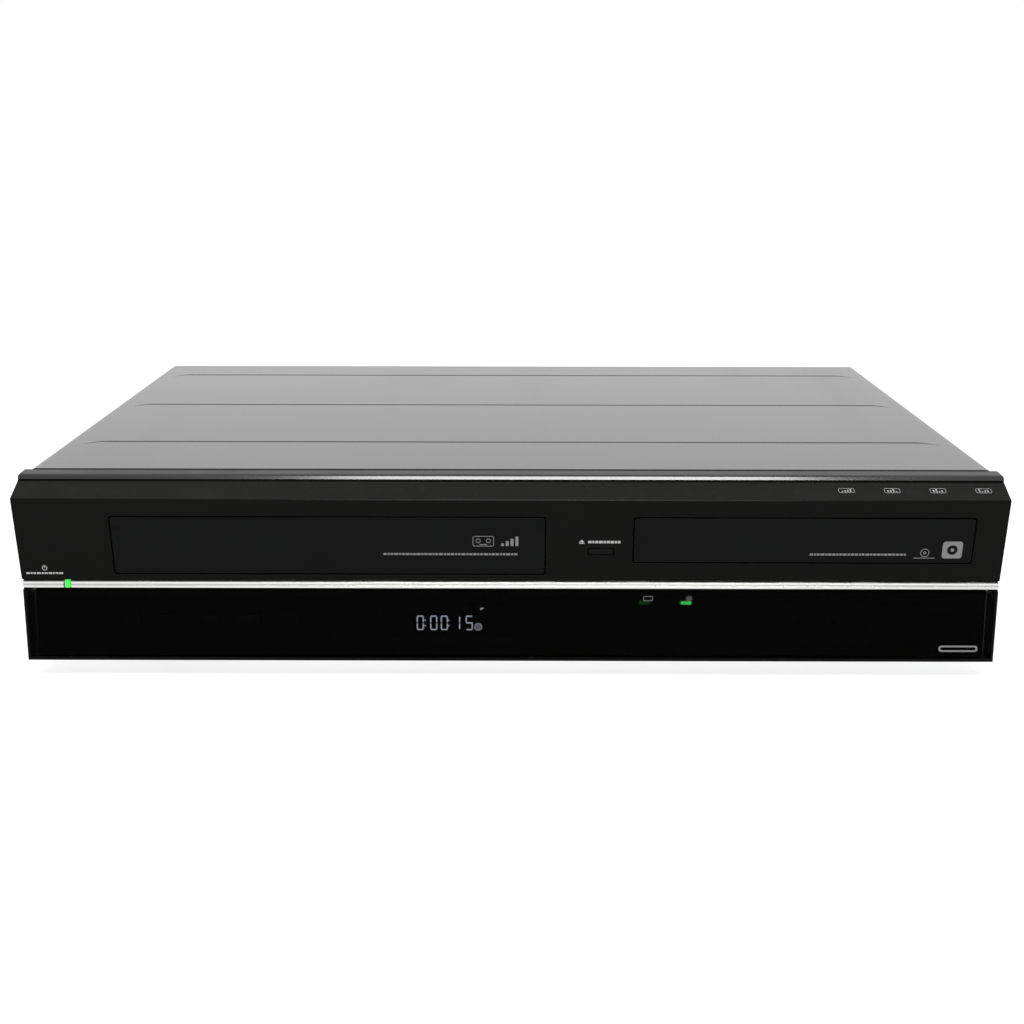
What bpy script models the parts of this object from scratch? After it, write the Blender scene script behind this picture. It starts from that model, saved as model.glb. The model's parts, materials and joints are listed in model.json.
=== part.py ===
"""Disc and tape combo player, a full-width component for a shelf under a television.

Metres, +Z up. X runs to the right as seen from the front, Y runs to the back, and the origin is on
the table under the middle of the whole player. Heights stack up from the table and depths run back
from the brow, which is the front-most edge of the bezel.
"""

import math

import bmesh
import bpy
from mathutils import Matrix, Vector

# Sizes that every piece shares
GAP = 0.0003
OVERRUN = 0.002
SINK = 0.0005
SHEET = 0.001
WELD = 0.00001
SHARP_ANGLE = 40
ROUND_STEPS = 3
ROUND_PROFILE_SHARE = 0.5

# Bezel: widths, stacked from the left end across the face to the right end, and wall
FLAP_MARGIN = 0.04215
FLAP_WIDTH = 0.1905
FACE_BETWEEN = 0.03925
TRAY_FRONT_WIDTH = 0.149
TRAY_MARGIN = 0.0141
BEZEL_WALL = 0.0025
CHEEK_WALL = 0.0012
COVER_PROUD = 0.0003

# Bezel: heights, stacked up from the table
FOOT_LIFT = 0.0086
LIP_HEIGHT = 0.0014
DOOR_HEIGHT = 0.0316
STRIP_LIFT = 0.0008
STRIP_HEIGHT = 0.0036
LEDGE_HEIGHT = 0.0022
FACE_HEIGHT = 0.0368
BEVEL_RISE = 0.0055
STEP_HEIGHT = 0.0018
SHOULDER_ROUND_RISE = 0.0005
SHOULDER_RISE = 0.0005
SHELF_THICKNESS = 0.0052

# Bezel: depths, back from the brow
FACE_SETBACK = 0.0099
LEDGE_SETBACK = 0.0007
STRIP_THICKNESS = 0.0017
STRIP_CHAMFER_SHARE = 0.25
DOOR_TOP_SETBACK = 0.0113
LIP_SETBACK = 0.0131
BEVEL_DEPTH = 0.014
STEP_OVERHANG = 0.0004
SHOULDER_ROUND_DEPTH = 0.0033
SHOULDER_DEPTH = 0.0096

# Sheet-metal case
COVER_INSET = 0.002
COVER_BEND = 0.0025
REAR_INSET = 0.0013
PAN_LIFT = 0.001
PAN_FLANGE_HEIGHT = 0.0144
TAB_WIDTH = 0.010
TAB_HEIGHT = 0.008
TAB_PLACE_INNER = 0.075
TAB_INSET_OUTER = 0.0355
VENT_WIDTH = 0.0025
VENT_HEIGHT = 0.026
VENT_DROP = 0.022
VENT_PITCH = 0.0065
VENT_BACK = 0.030
VENT_COUNT = 10
LINE_PITCH = 0.112
LINE_FIRST = 0.0665
LINE_INSET = 0.0185
LINE_HOOK_LENGTH = 0.0085
LINE_HOOK_DEPTH = 0.009
LINE_WIDTH = 0.0028
LINE_DEPTH = 0.0005
SCREW_HEAD_RADIUS = 0.0035
SCREW_HEAD_HEIGHT = 0.0013
SCREW_SHANK_RADIUS = 0.0015
SCREW_SHANK_LENGTH = 0.006
SCREW_RISE = 0.0075
SCREW_INSET = 0.040
FOOT_RADIUS = 0.013
FOOT_TOE_RADIUS = 0.011
FOOT_STEM_RADIUS = 0.003
FOOT_STEM_RISE = 0.0025
FOOT_INSET_SIDE = 0.0555
FOOT_INSET_FRONT = 0.030
FOOT_INSET_REAR = 0.040

# Cassette flap and its mouth
FLAP_HEIGHT = 0.0272
FLAP_LIFT = 0.001
FLAP_THICKNESS = 0.0022
FRONT_GAP = 0.0005
HINGE_BEHIND = 0.0044
HINGE_RISE = 0.0025
HINGE_PIN_RADIUS = 0.0009
HINGE_ARM_WIDTH = 0.003
HINGE_ARM_DROP = 0.005
EAR_WIDTH = 0.0027
EAR_HALF = 0.0024
CORNER_RADIUS = 0.0012

# Lower door
DOOR_THICKNESS = 0.003
DOOR_CORNER = 0.005
DOOR_PIN_RADIUS = 0.0008
DOOR_PIN_REACH = 0.001

# Standby button and light, at the left end of the strip
STANDBY_WIDTH = 0.0183
STANDBY_TRAVEL = 0.0008
LIGHT_WIDTH = 0.0024
LIGHT_STEM_RADIUS = 0.0007
STEM_RADIUS = 0.0012
PEG_RADIUS = 0.0009
PEG_LENGTH = 0.005
PEG_INSET = 0.0675

# Open and close button
OPEN_PLACE = 0.02475
OPEN_RISE = 0.0106
OPEN_WIDTH = 0.0110
OPEN_HEIGHT = 0.0026
OPEN_TRAVEL = 0.0008
OPEN_FLANGE = 0.001
OPEN_STAND = 0.0003
OPEN_THICKNESS = 0.0045

# Control deck behind the lower door
DECK_SETBACK = 0.0186
DECK_THICKNESS = 0.002
DECK_SIDE_GAP = 0.0022
KEY_WIDTH = 0.011
KEY_HEIGHT = 0.005
KEY_REACH = 0.0012
KEY_FLANGE = 0.001
KEY_FLANGE_THICKNESS = 0.0012
KEY_TRAVEL = 0.0005
KEY_PITCH = 0.018
KEY_INSET = 0.0455
KEY_RISE = 0.0165
KEY_NAMES = ("record_key", "stop_key", "play_key", "rewind_key", "forward_key")
DISPLAY_X = -0.030
DISPLAY_WIDTH = 0.066
DISPLAY_HEIGHT = 0.020
DISPLAY_LIFT = 0.0050
WINDOW_MARGIN = 0.003
MODE_LEFT_X = 0.0605
MODE_RIGHT_X = 0.0784
MODE_WIDTH = 0.0046
MODE_HEIGHT = 0.0016
MODE_DROP = 0.0074
SOCKET_PITCH = 0.016
FRONT_SOCKET_INSET = 0.0875
FRONT_SOCKET_COUNT = 3
FRONT_SOCKET_DEPTH = 0.006
BOARD = 0.0016
BOARD_INSET = 0.0105
BOARD_END_GAP = 0.007
BOARD_TOP_MARGIN = 0.0035
TOWER_WIDTH = 0.016
TOWER_MARGIN = 0.005
PILLAR_RADIUS = 0.002
PILLAR_MARGIN = 0.012
SWITCH_SIZE = 0.006
SWITCH_DEPTH = 0.0018
FRONT_BOARD_LIFT = 0.0015

# Rear sockets
SOCKET_RADIUS = 0.0042
SOCKET_BORE = 0.0016
SOCKET_REACH = 0.009
JACK_COLUMNS = 6
JACK_ROWS = 2
JACK_PITCH_X = 0.018
JACK_PITCH_Z = 0.020
JACK_INSET = 0.1515
JACK_DEPTH = 0.012
JACK_LIFT = 0.0100
AERIAL_INSET = 0.0235
AERIAL_RADIUS = 0.0048
AERIAL_DEPTH = 0.018
DIGITAL_INSET = 0.1735
DIGITAL_WIDTH = 0.0150
DIGITAL_HEIGHT = 0.0060
DIGITAL_DEPTH = 0.012
DIGITAL_WALL = 0.0007
DIGITAL_BORE = 0.008
DIGITAL_LIFT = 0.006
INLET_INSET = 0.0275
INLET_WIDTH = 0.026
INLET_HEIGHT = 0.018
INLET_DEPTH = 0.018
INLET_REACH = 0.002
INLET_WALL = 0.0025
INLET_BORE = 0.013
INLET_LIFT = 0.012
INLET_PIN_RADIUS = 0.0012
INLET_PIN_PITCH = 0.0086

# Fan
FAN_INSET = 0.0905
FAN_SIZE = 0.040
FAN_DEPTH = 0.010
FAN_LIFT = 0.040
FAN_BORE = 0.0186
FAN_TIP_GAP = 0.0008
FAN_HUB = 0.0085
FAN_BLADES = 7
FAN_BLADE_THICKNESS = 0.0012
FAN_BLADE_PITCH = 38
FAN_ROTOR_DEPTH = 0.006
FAN_SHAFT = 0.001
FAN_ARM = 0.003
GRILLE_BARS = 5

# Boards in the case
BOARD_SEAT = 0.006
STANDOFF_RADIUS = 0.003
MAIN_GAP = 0.0056
MAIN_INSET = 0.0085
MAIN_FRONT = 0.040
MAIN_MIDDLE_SHARE = 0.62
POWER_INSET = 0.0075
POWER_WIDTH = 0.138
POWER_DEPTH = 0.0431
POWER_GAP = 0.006
BOARD_REAR_GAP = 0.005
CHIP_SIZE = 0.026
CHIP_HEIGHT = 0.003
SINK_HEIGHT = 0.014
CAPACITOR_RADIUS = 0.008
CAPACITOR_HEIGHT = 0.024
TRANSFORMER_WIDTH = 0.040
TRANSFORMER_DEPTH = 0.026
TRANSFORMER_HEIGHT = 0.034
TRANSFORMER_COIL = 0.003

# Tape deck
DECK_PLATE = 0.0015
DECK_PLATE_LIFT = 0.0134
DECK_PLATE_RIM = 0.0002
DECK_PLATE_FRONT = 0.044
DECK_PLATE_MARGIN = 0.017
LEG_RADIUS = 0.004
LEG_INSET = 0.008
REEL_PLACE = 0.046
REEL_DEPTH = 0.060
REEL_RADIUS = 0.013
REEL_HEIGHT = 0.006
REEL_SPINDLE_RADIUS = 0.004
REEL_SPINDLE_HEIGHT = 0.009
AXLE_RADIUS = 0.0015
DRUM_RADIUS = 0.031
DRUM_CLEARANCE = 0.021
DRUM_BASE_HEIGHT = 0.018
DRUM_HEIGHT = 0.016
DRUM_NOTCHES = 4
DRUM_NOTCH = 0.003
CAPSTAN_X = 0.046
CAPSTAN_BEFORE_DRUM = 0.028
CAPSTAN_RISE = 0.030
FLYWHEEL_RADIUS = 0.022
FLYWHEEL_HEIGHT = 0.006
PULLEY_X = -0.010
PULLEY_BEFORE_DRUM = 0.052
PULLEY_RADIUS = 0.011
BELT_THICKNESS = 0.0012
BELT_HEIGHT = 0.003
PINCH_PIVOT_X = 0.075
PINCH_ARM_LENGTH = 0.024
PINCH_REST_TURN = 130
PINCH_ARM_HEIGHT = 0.003
PINCH_ARM_HALF = 0.004
PINCH_ROLLER_RADIUS = 0.006
PINCH_ROLLER_HEIGHT = 0.014
LOADING_INSET = 0.0245
LOADING_BEHIND_DRUM = 0.010
LOADING_RADIUS = 0.011
LOADING_HEIGHT = 0.030
CARRIAGE_WALL = 0.002
CARRIAGE_SIDE = 0.00905
CARRIAGE_FRONT = 0.048
CARRIAGE_SPARE = 0.008
CARRIAGE_TOP_DROP = 0.0115
SLED_WALL = 0.0012
SLED_SIDE_GAP = 0.0018
SLED_FRONT = 0.044
SLED_LENGTH = 0.102
SLED_FLOOR_DROP = 0.0008
SLED_HEIGHT = 0.0280
SLED_LIP = 0.006
SLED_TRAVEL = 0.046
SLED_PIN_RADIUS = 0.0015
SLED_PIN_LIFT = 0.014
SLED_PIN_INSET = 0.016

# Disc drive
TRAY_FRONT_HEIGHT = 0.0212
TRAY_FRONT_LIFT = 0.0069
TRAY_FRONT_THICKNESS = 0.0022
TRAY_SIDE = 0.0035
TRAY_RIM = 0.0162
TRAY_THICKNESS = 0.006
TRAY_LIFT = 0.0047
TRAY_GAP_BEHIND_FRONT = 0.0003
DISC_RECESS_RADIUS = 0.061
DISC_RECESS_DEPTH = 0.0022
DISC_SETBACK = 0.092
TRAY_HOLE_RADIUS = 0.019
TRAY_SLOT_HALF = 0.017
TRAY_SLOT_CLEARANCE = 0.0008
FRAME_FLOOR = 0.002
FRAME_WALL = 0.0025
FRAME_FRONT = 0.0305
FRAME_SPARE = 0.0328
FRAME_SIDE_GAP = 0.0030
FRAME_FLOOR_DROP = 0.0123
FRAME_WALL_RISE = 0.0055
LEDGE_WIDTH = 0.0055
LEDGE_THICKNESS = 0.0016
FRAME_LEG_RADIUS = 0.0035
FRAME_LEG_INSET = 0.007
FLOOR_WINDOW_HALF = 0.036
FLOOR_WINDOW_MARGIN = 0.020
FLOOR_WINDOW_LEAD = 0.020
TRAVERSE_THICKNESS = 0.0015
TRAVERSE_RIM = 0.0015
TRAVERSE_TRAVEL = 0.0064
DISC_LIFT = 0.0006
RAIL_RADIUS = 0.001
RAIL_PLACE = 0.020
RAIL_BLOCK = 0.002
MOTOR_RADIUS = 0.011
TURNTABLE_RADIUS = 0.014
TURNTABLE_HEIGHT = 0.0012
TURNTABLE_BOSS_RADIUS = 0.0072
TURNTABLE_BOSS_HEIGHT = 0.0014
PICKUP_BEHIND_DISC = 0.017
PICKUP_LENGTH = 0.014
PICKUP_HALF = 0.0155
PICKUP_HEIGHT = 0.0066
PICKUP_LENS_RADIUS = 0.003
PICKUP_LENS_HEIGHT = 0.0006
PICKUP_TRAVEL = 0.028
BRIDGE_THICKNESS = 0.0016
BRIDGE_HALF_DEPTH = 0.022
PUCK_NECK_RADIUS = 0.011
PUCK_RADIUS = 0.015
PUCK_FLANGE = 0.0016
TOOTH_MODULE = 0.0015
GEAR_TEETH = 12
TRAY_TRAVEL_PITCHES = 27
RACK_SPARE_TEETH = 3
GEAR_SETBACK = 0.038
GEAR_THICKNESS = 0.003
RACK_PLACE = 0.0088
RACK_BACKING = 0.0025
RACK_DROP = 0.0036
TOOTH_REACH_SHARE = 0.8
TOOTH_ROOT_SHARE = 1.0
TOOTH_WIDTH_SHARES = (1.70, 1.24, 0.70)

# Heights that follow from the stacks
BASE_Z = FOOT_LIFT
LIP_TOP_Z = BASE_Z + LIP_HEIGHT
DOOR_LOW_Z = LIP_TOP_Z + GAP
DOOR_TOP_Z = DOOR_LOW_Z + DOOR_HEIGHT
WAIST_LOW_Z = DOOR_TOP_Z + GAP
STRIP_LOW_Z = WAIST_LOW_Z + STRIP_LIFT
STRIP_TOP_Z = STRIP_LOW_Z + STRIP_HEIGHT
STRIP_MID_Z = (STRIP_LOW_Z + STRIP_TOP_Z) / 2
CHANNEL_TOP_Z = STRIP_TOP_Z + GAP
KINK_Z = CHANNEL_TOP_Z + LEDGE_HEIGHT
BROW_Z = KINK_Z + FACE_HEIGHT
BEVEL_TOP_Z = BROW_Z + BEVEL_RISE
STEP_TOP_Z = BEVEL_TOP_Z + STEP_HEIGHT
SHOULDER_MID_Z = STEP_TOP_Z + SHOULDER_ROUND_RISE
COVER_TOP_Z = SHOULDER_MID_Z + SHOULDER_RISE
SHELF_TOP_Z = WAIST_LOW_Z + SHELF_THICKNESS
PAN_LOW_Z = BASE_Z + PAN_LIFT
PAN_TOP_Z = PAN_LOW_Z + SHEET
COVER_UNDER_Z = COVER_TOP_Z - SHEET

# Places that follow, back from the brow: the tape deck, the boards behind it and the rear panel
CARRIAGE_BACK = SLED_FRONT + SLED_LENGTH + SLED_TRAVEL + CARRIAGE_SPARE
REEL_SETBACK = SLED_FRONT + SLED_TRAVEL + REEL_DEPTH
DRUM_SETBACK = CARRIAGE_BACK + DRUM_CLEARANCE + DRUM_RADIUS
CAPSTAN_SETBACK = DRUM_SETBACK - CAPSTAN_BEFORE_DRUM
PULLEY_SETBACK = DRUM_SETBACK - PULLEY_BEFORE_DRUM
LOADING_SETBACK = DRUM_SETBACK + LOADING_BEHIND_DRUM
DECK_PLATE_BACK = DRUM_SETBACK + DRUM_RADIUS + DECK_PLATE_MARGIN
POWER_FRONT = DECK_PLATE_BACK + POWER_GAP
REAR_SETBACK = POWER_FRONT + POWER_DEPTH + BOARD_REAR_GAP + GAP + SHEET

# Places that follow, back from the brow: the disc drive
TRAY_BACK = DISC_SETBACK + DISC_RECESS_RADIUS + TRAY_RIM
FRAME_BACK = TRAY_BACK + FRAME_SPARE
FLOOR_WINDOW_FRONT = DISC_SETBACK - FLOOR_WINDOW_LEAD
PICKUP_FRONT = DISC_SETBACK + PICKUP_BEHIND_DISC

# Depths that follow, with the origin in the middle of the whole length
COVER_SETBACK = BEVEL_DEPTH - STEP_OVERHANG + SHOULDER_ROUND_DEPTH + SHOULDER_DEPTH
WHOLE_LENGTH = REAR_SETBACK + SOCKET_REACH
BROW_Y = -WHOLE_LENGTH / 2
KINK_Y = BROW_Y + FACE_SETBACK
LEDGE_Y = KINK_Y + LEDGE_SETBACK
STRIP_BACK_Y = LEDGE_Y + STRIP_THICKNESS
CHANNEL_Y = STRIP_BACK_Y + GAP
DOOR_TOP_Y = BROW_Y + DOOR_TOP_SETBACK
LIP_Y = BROW_Y + LIP_SETBACK
STEP_Y = BROW_Y + BEVEL_DEPTH - STEP_OVERHANG
SHOULDER_MID_Y = STEP_Y + SHOULDER_ROUND_DEPTH
COVER_FRONT_Y = BROW_Y + COVER_SETBACK
BEZEL_BACK_Y = COVER_FRONT_Y - GAP
REAR_BACK_Y = BROW_Y + REAR_SETBACK
COVER_REAR_Y = REAR_BACK_Y + REAR_INSET
REAR_FRONT_Y = REAR_BACK_Y - SHEET
INSIDE_REAR_Y = REAR_FRONT_Y - GAP
FACE_LEAN = FACE_SETBACK / FACE_HEIGHT

# Widths and places across that follow
BEZEL_WIDTH = FLAP_MARGIN + FLAP_WIDTH + FACE_BETWEEN + TRAY_FRONT_WIDTH + TRAY_MARGIN
BEZEL_HALF = BEZEL_WIDTH / 2
COVER_HALF = BEZEL_HALF - COVER_INSET
PAN_HALF = COVER_HALF - SHEET - GAP
DOOR_HALF = BEZEL_HALF - CHEEK_WALL - GAP
TAPE_X = -BEZEL_HALF + FLAP_MARGIN + FLAP_WIDTH / 2
DISC_X = BEZEL_HALF - TRAY_MARGIN - TRAY_FRONT_WIDTH / 2
OPEN_X = TAPE_X + FLAP_WIDTH / 2 + OPEN_PLACE
TRAY_WIDTH = TRAY_FRONT_WIDTH - 2 * TRAY_SIDE
CARRIAGE_HALF = FLAP_WIDTH / 2 + CARRIAGE_SIDE
DECK_PLATE_HALF = CARRIAGE_HALF + DECK_PLATE_RIM
LOADING_X = DECK_PLATE_HALF - LOADING_INSET
KEY_FIRST_X = -BEZEL_HALF + KEY_INSET
FRONT_SOCKET_X = BEZEL_HALF - FRONT_SOCKET_INSET
BOARD_LEFT = -BEZEL_HALF + BOARD_INSET
BOARD_RIGHT = FRONT_SOCKET_X - BOARD_END_GAP
TAB_PLACE_OUTER = COVER_HALF - TAB_INSET_OUTER
LINE_HALF_SPAN = COVER_HALF - LINE_INSET
FOOT_PLACE_X = COVER_HALF - FOOT_INSET_SIDE
PEG_PLACE = BEZEL_HALF - PEG_INSET
JACK_FIRST_X = COVER_HALF - JACK_INSET
AERIAL_X = COVER_HALF - AERIAL_INSET
DIGITAL_X = COVER_HALF - DIGITAL_INSET
INLET_X = -COVER_HALF + INLET_INSET
FAN_X = -COVER_HALF + FAN_INSET
MAIN_LEFT = TAPE_X + DECK_PLATE_HALF + MAIN_GAP
MAIN_RIGHT = COVER_HALF - MAIN_INSET
POWER_LEFT = -COVER_HALF + POWER_INSET
POWER_RIGHT = POWER_LEFT + POWER_WIDTH

# Colours: base colour, roughness, metallic
FINISHES = {
    "case_paint": ((0.09, 0.09, 0.088), 0.35, 0.4),
    "bezel_plastic": ((0.012, 0.013, 0.015), 0.3, 0.0),
    "smoked_plastic": ((0.004, 0.004, 0.006), 0.06, 0.0),
    "bright_trim": ((0.80, 0.80, 0.78), 0.22, 0.9),
    "zinc_sheet": ((0.55, 0.56, 0.56), 0.4, 0.9),
    "board_green": ((0.04, 0.16, 0.08), 0.5, 0.0),
    "dark_plastic": ((0.03, 0.03, 0.03), 0.55, 0.0),
    "light_plastic": ((0.55, 0.55, 0.52), 0.5, 0.0),
    "bright_metal": ((0.75, 0.75, 0.74), 0.25, 1.0),
    "copper_coil": ((0.55, 0.27, 0.10), 0.4, 0.6),
    "rubber": ((0.02, 0.02, 0.02), 0.8, 0.0),
    "light_guide": ((0.25, 0.9, 0.3), 0.2, 0.0),
    "display_glass": ((0.01, 0.02, 0.02), 0.08, 0.0),
}

# The mapping of a flat outline's own axes to the player's, by the way its thickness runs
FACINGS = {
    "X": Matrix(((0, 0, 1, 0), (1, 0, 0, 0), (0, 1, 0, 0), (0, 0, 0, 1))),
    "Y": Matrix(((1, 0, 0, 0), (0, 0, -1, 0), (0, 1, 0, 0), (0, 0, 0, 1))),
    "Z": Matrix.Identity(4),
}
ALONG = {"X": Vector((1, 0, 0)), "Y": Vector((0, 1, 0)), "Z": Vector((0, 0, 1))}
SQUARE = 4
SMALL_SIDES = 8
BARREL_SIDES = 12
ROUND_SIDES = 16
LARGE_SIDES = 32
DISC_SIDES = 48


def face_y(z):
    """Depth of the leaning upper face at a height."""
    return BROW_Y + (BROW_Z - z) * FACE_LEAN


def clear_scene():
    for item in list(bpy.data.objects):
        bpy.data.objects.remove(item, do_unlink=True)


def collection(name):
    made = bpy.data.collections.new(name)
    bpy.context.scene.collection.children.link(made)
    return made


def finish(name):
    """The Principled material of one finish, made once."""
    found = bpy.data.materials.get(name)
    if found:
        return found
    colour, roughness, metallic = FINISHES[name]
    made = bpy.data.materials.new(name)
    made.use_nodes = True
    shader = made.node_tree.nodes["Principled BSDF"]
    shader.inputs["Base Color"].default_value = (*colour, 1)
    shader.inputs["Roughness"].default_value = roughness
    shader.inputs["Metallic"].default_value = metallic
    return made


def own_material(name, kind):
    """Each piece has a material of its own, copied from its finish."""
    made = finish(kind).copy()
    made.name = name + "_" + kind
    return made


def box(low, high):
    """A block between two corners."""
    shape = bmesh.new()
    size = [b - a for a, b in zip(low, high)]
    middle = Vector([(a + b) / 2 for a, b in zip(low, high)])
    place = Matrix.Translation(middle) @ Matrix.Diagonal((*size, 1))
    bmesh.ops.create_cube(shape, size=1, matrix=place)
    return shape


def rod(start, end, radius, sides=ROUND_SIDES):
    """A round bar between two points."""
    shape = bmesh.new()
    start, end = Vector(start), Vector(end)
    turn = (end - start).to_track_quat("Z", "Y").to_matrix().to_4x4()
    place = Matrix.Translation((start + end) / 2) @ turn
    bmesh.ops.create_cone(
        shape,
        cap_ends=True,
        segments=sides,
        radius1=radius,
        radius2=radius,
        depth=(end - start).length,
        matrix=place,
    )
    return shape


def slab(facing, loops, start, end):
    """A flat outline, with any holes, as a filled 2D curve given its thickness from start to end."""
    curve = bpy.data.curves.new("outline", "CURVE")
    curve.dimensions = "2D"
    curve.fill_mode = "BOTH"
    curve.extrude = (end - start) / 2
    for loop in loops:
        spline = curve.splines.new("POLY")
        spline.points.add(len(loop) - 1)
        for point, place in zip(spline.points, loop):
            point.co = (place[0], place[1], 0, 1)
        spline.use_cyclic_u = True
    drawn = bpy.data.objects.new("outline", curve)
    bpy.context.scene.collection.objects.link(drawn)
    graph = bpy.context.evaluated_depsgraph_get()
    mesh = bpy.data.meshes.new_from_object(drawn.evaluated_get(graph))
    mesh.transform(Matrix.Translation(ALONG[facing] * (start + end) / 2) @ FACINGS[facing])
    shape = bmesh.new()
    shape.from_mesh(mesh)
    bmesh.ops.remove_doubles(shape, verts=shape.verts, dist=WELD)
    bmesh.ops.recalc_face_normals(shape, faces=shape.faces)
    bpy.data.objects.remove(drawn, do_unlink=True)
    bpy.data.curves.remove(curve)
    bpy.data.meshes.remove(mesh)
    return shape


def together(*shapes):
    """Several shapes that don't touch, as one mesh."""
    whole = bmesh.new()
    for shape in shapes:
        mesh = bpy.data.meshes.new("part")
        shape.to_mesh(mesh)
        shape.free()
        whole.from_mesh(mesh)
        bpy.data.meshes.remove(mesh)
    return whole


def rectangle(left, low, right, high):
    return [(left, low), (right, low), (right, high), (left, high)]


def circle(x, y, radius, sides=ROUND_SIDES):
    steps = [2 * math.pi * i / sides for i in range(sides)]
    return [(x + radius * math.cos(a), y + radius * math.sin(a)) for a in steps]


def arc(x, y, radius, first, last, steps):
    """Points on an arc, with its ends, in degrees."""
    turns = [math.radians(first + (last - first) * i / steps) for i in range(steps + 1)]
    return [(x + radius * math.cos(a), y + radius * math.sin(a)) for a in turns]


def channel(half, low, top, wall, bend=None):
    """Outline of a sheet folded down at both sides: a top and two skirts."""
    bend = bend or wall + wall
    inner = bend - wall
    outside = [(-half, low)]
    outside += arc(-half + bend, top - bend, bend, 180, 90, SQUARE)
    outside += arc(half - bend, top - bend, bend, 90, 0, SQUARE)
    outside += [(half, low), (half - wall, low)]
    outside += arc(half - bend, top - bend, inner, 0, 90, SQUARE)
    outside += arc(-half + bend, top - bend, inner, 90, 180, SQUARE)
    return outside + [(-half + wall, low)]


def shifted(loop, x, y):
    return [(a + x, b + y) for a, b in loop]


def piece(name, shape, kind, origin=(0, 0, 0)):
    """A named object from a shape in the player's frame, with its origin where it turns or slides."""
    mesh = bpy.data.meshes.new(name)
    shape.to_mesh(mesh)
    shape.free()
    origin = Vector(origin)
    mesh.transform(Matrix.Translation(-origin))
    made = bpy.data.objects.new(name, mesh)
    made.location = origin
    made.data.materials.append(own_material(name, kind))
    PARTS.objects.link(made)
    mesh.shade_smooth()
    mesh.set_sharp_from_angle(angle=math.radians(SHARP_ANGLE))
    return made


def tool(owner, shape, operation, solver="EXACT"):
    """A cutter, or a shape to join, kept in its own collection and used by a Boolean."""
    count = len(owner.modifiers)
    mesh = bpy.data.meshes.new(owner.name + "_tool")
    shape.to_mesh(mesh)
    shape.free()
    made = bpy.data.objects.new(owner.name + "_tool_" + str(count), mesh)
    made.hide_render = True
    made.display_type = "WIRE"
    CUTTERS.objects.link(made)
    change = owner.modifiers.new(operation.lower(), "BOOLEAN")
    change.operation = operation
    change.object = made
    change.solver = solver
    return change


def carve(owner, *shapes):
    tool(owner, together(*shapes), "DIFFERENCE")


def join(owner, *shapes, solver="EXACT"):
    tool(owner, together(*shapes), "UNION", solver)


def turned(name, profile, kind, origin, sides=LARGE_SIDES):
    """A piece turned about Z from its profile of (radius, height), top to bottom on its outer side.

    A profile that starts off the axis is a ring's section, and closes on itself."""
    mesh = bpy.data.meshes.new(name)
    edges = [(i, i + 1) for i in range(len(profile) - 1)]
    if profile[0][0] > 0:
        edges.append((len(profile) - 1, 0))
    mesh.from_pydata([(r, 0, z) for r, z in profile], edges, [])
    made = bpy.data.objects.new(name, mesh)
    made.location = Vector(origin)
    made.data.materials.append(own_material(name, kind))
    PARTS.objects.link(made)
    spin = made.modifiers.new("turn", "SCREW")
    spin.steps = sides
    spin.render_steps = sides
    spin.use_merge_vertices = True
    spin.merge_threshold = WELD
    return made


clear_scene()
PARTS = collection("combo_player")
CUTTERS = collection("cutters")


def flap_opening():
    """Corners of the cassette mouth in the bezel: left, low, right, high."""
    half = FLAP_WIDTH / 2 + FRONT_GAP
    low = KINK_Z + FLAP_LIFT - FRONT_GAP
    return TAPE_X - half, low, TAPE_X + half, low + FLAP_HEIGHT + 2 * FRONT_GAP


def tray_opening():
    half = TRAY_FRONT_WIDTH / 2 + FRONT_GAP
    low = KINK_Z + TRAY_FRONT_LIFT - FRONT_GAP
    return DISC_X - half, low, DISC_X + half, low + TRAY_FRONT_HEIGHT + 2 * FRONT_GAP


def open_button_box():
    low = KINK_Z + OPEN_RISE
    return OPEN_X - OPEN_WIDTH / 2, low, OPEN_X + OPEN_WIDTH / 2, low + OPEN_HEIGHT


def grown(corners, margin):
    left, low, right, high = corners
    return left - margin, low - margin, right + margin, high + margin


def standby_ends():
    """Left and right end of the standby button, at the left end of the strip."""
    left = -BEZEL_HALF + GAP
    return left, left + STANDBY_WIDTH


def standby_x():
    return sum(standby_ends()) / 2


def flap_axis():
    """Hinge line of the cassette flap, behind the wall above its mouth."""
    top = flap_opening()[3]
    return face_y(top) + HINGE_BEHIND, top + HINGE_RISE


def door_axis():
    """Hinge line of the lower door, in the middle of its rounded foot."""
    radius = DOOR_THICKNESS / 2
    return LIP_Y + radius, DOOR_LOW_Z + radius


def rounded(shape, edges, radius):
    """Rounds chosen edges of a shape that has no modifier yet."""
    bmesh.ops.bevel(
        shape, geom=edges, offset=radius, segments=ROUND_STEPS, profile=ROUND_PROFILE_SHARE,
        affect="EDGES",
    )


def face_panel(corners, thickness, radius=0.0, back=0.0):
    """A panel flush with the leaning face, with level edges, and its corners rounded."""
    left, low, right, high = corners
    outline = [
        (face_y(low) + back, low),
        (face_y(low) + back + thickness, low),
        (face_y(high) + back + thickness, high),
        (face_y(high) + back, high),
    ]
    panel = slab("X", [outline], left, right)
    if radius:
        chosen = [
            e
            for e in panel.edges
            if abs(e.verts[0].co.x - e.verts[1].co.x) < WELD
            and abs(e.verts[0].co.z - e.verts[1].co.z) < WELD
        ]
        rounded(panel, chosen, radius)
    return panel


def opening_cutter(corners, radius=0.0):
    """A straight cut through the leaning face, level edges, as deep as the bezel."""
    left, low, right, high = corners
    cut = box((left, BROW_Y - OVERRUN, low), (right, BEZEL_BACK_Y - BEZEL_WALL, high))
    if radius:
        chosen = [e for e in cut.edges if abs(e.verts[0].co.y - e.verts[1].co.y) > WELD]
        rounded(cut, chosen, radius)
    return cut


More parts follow.
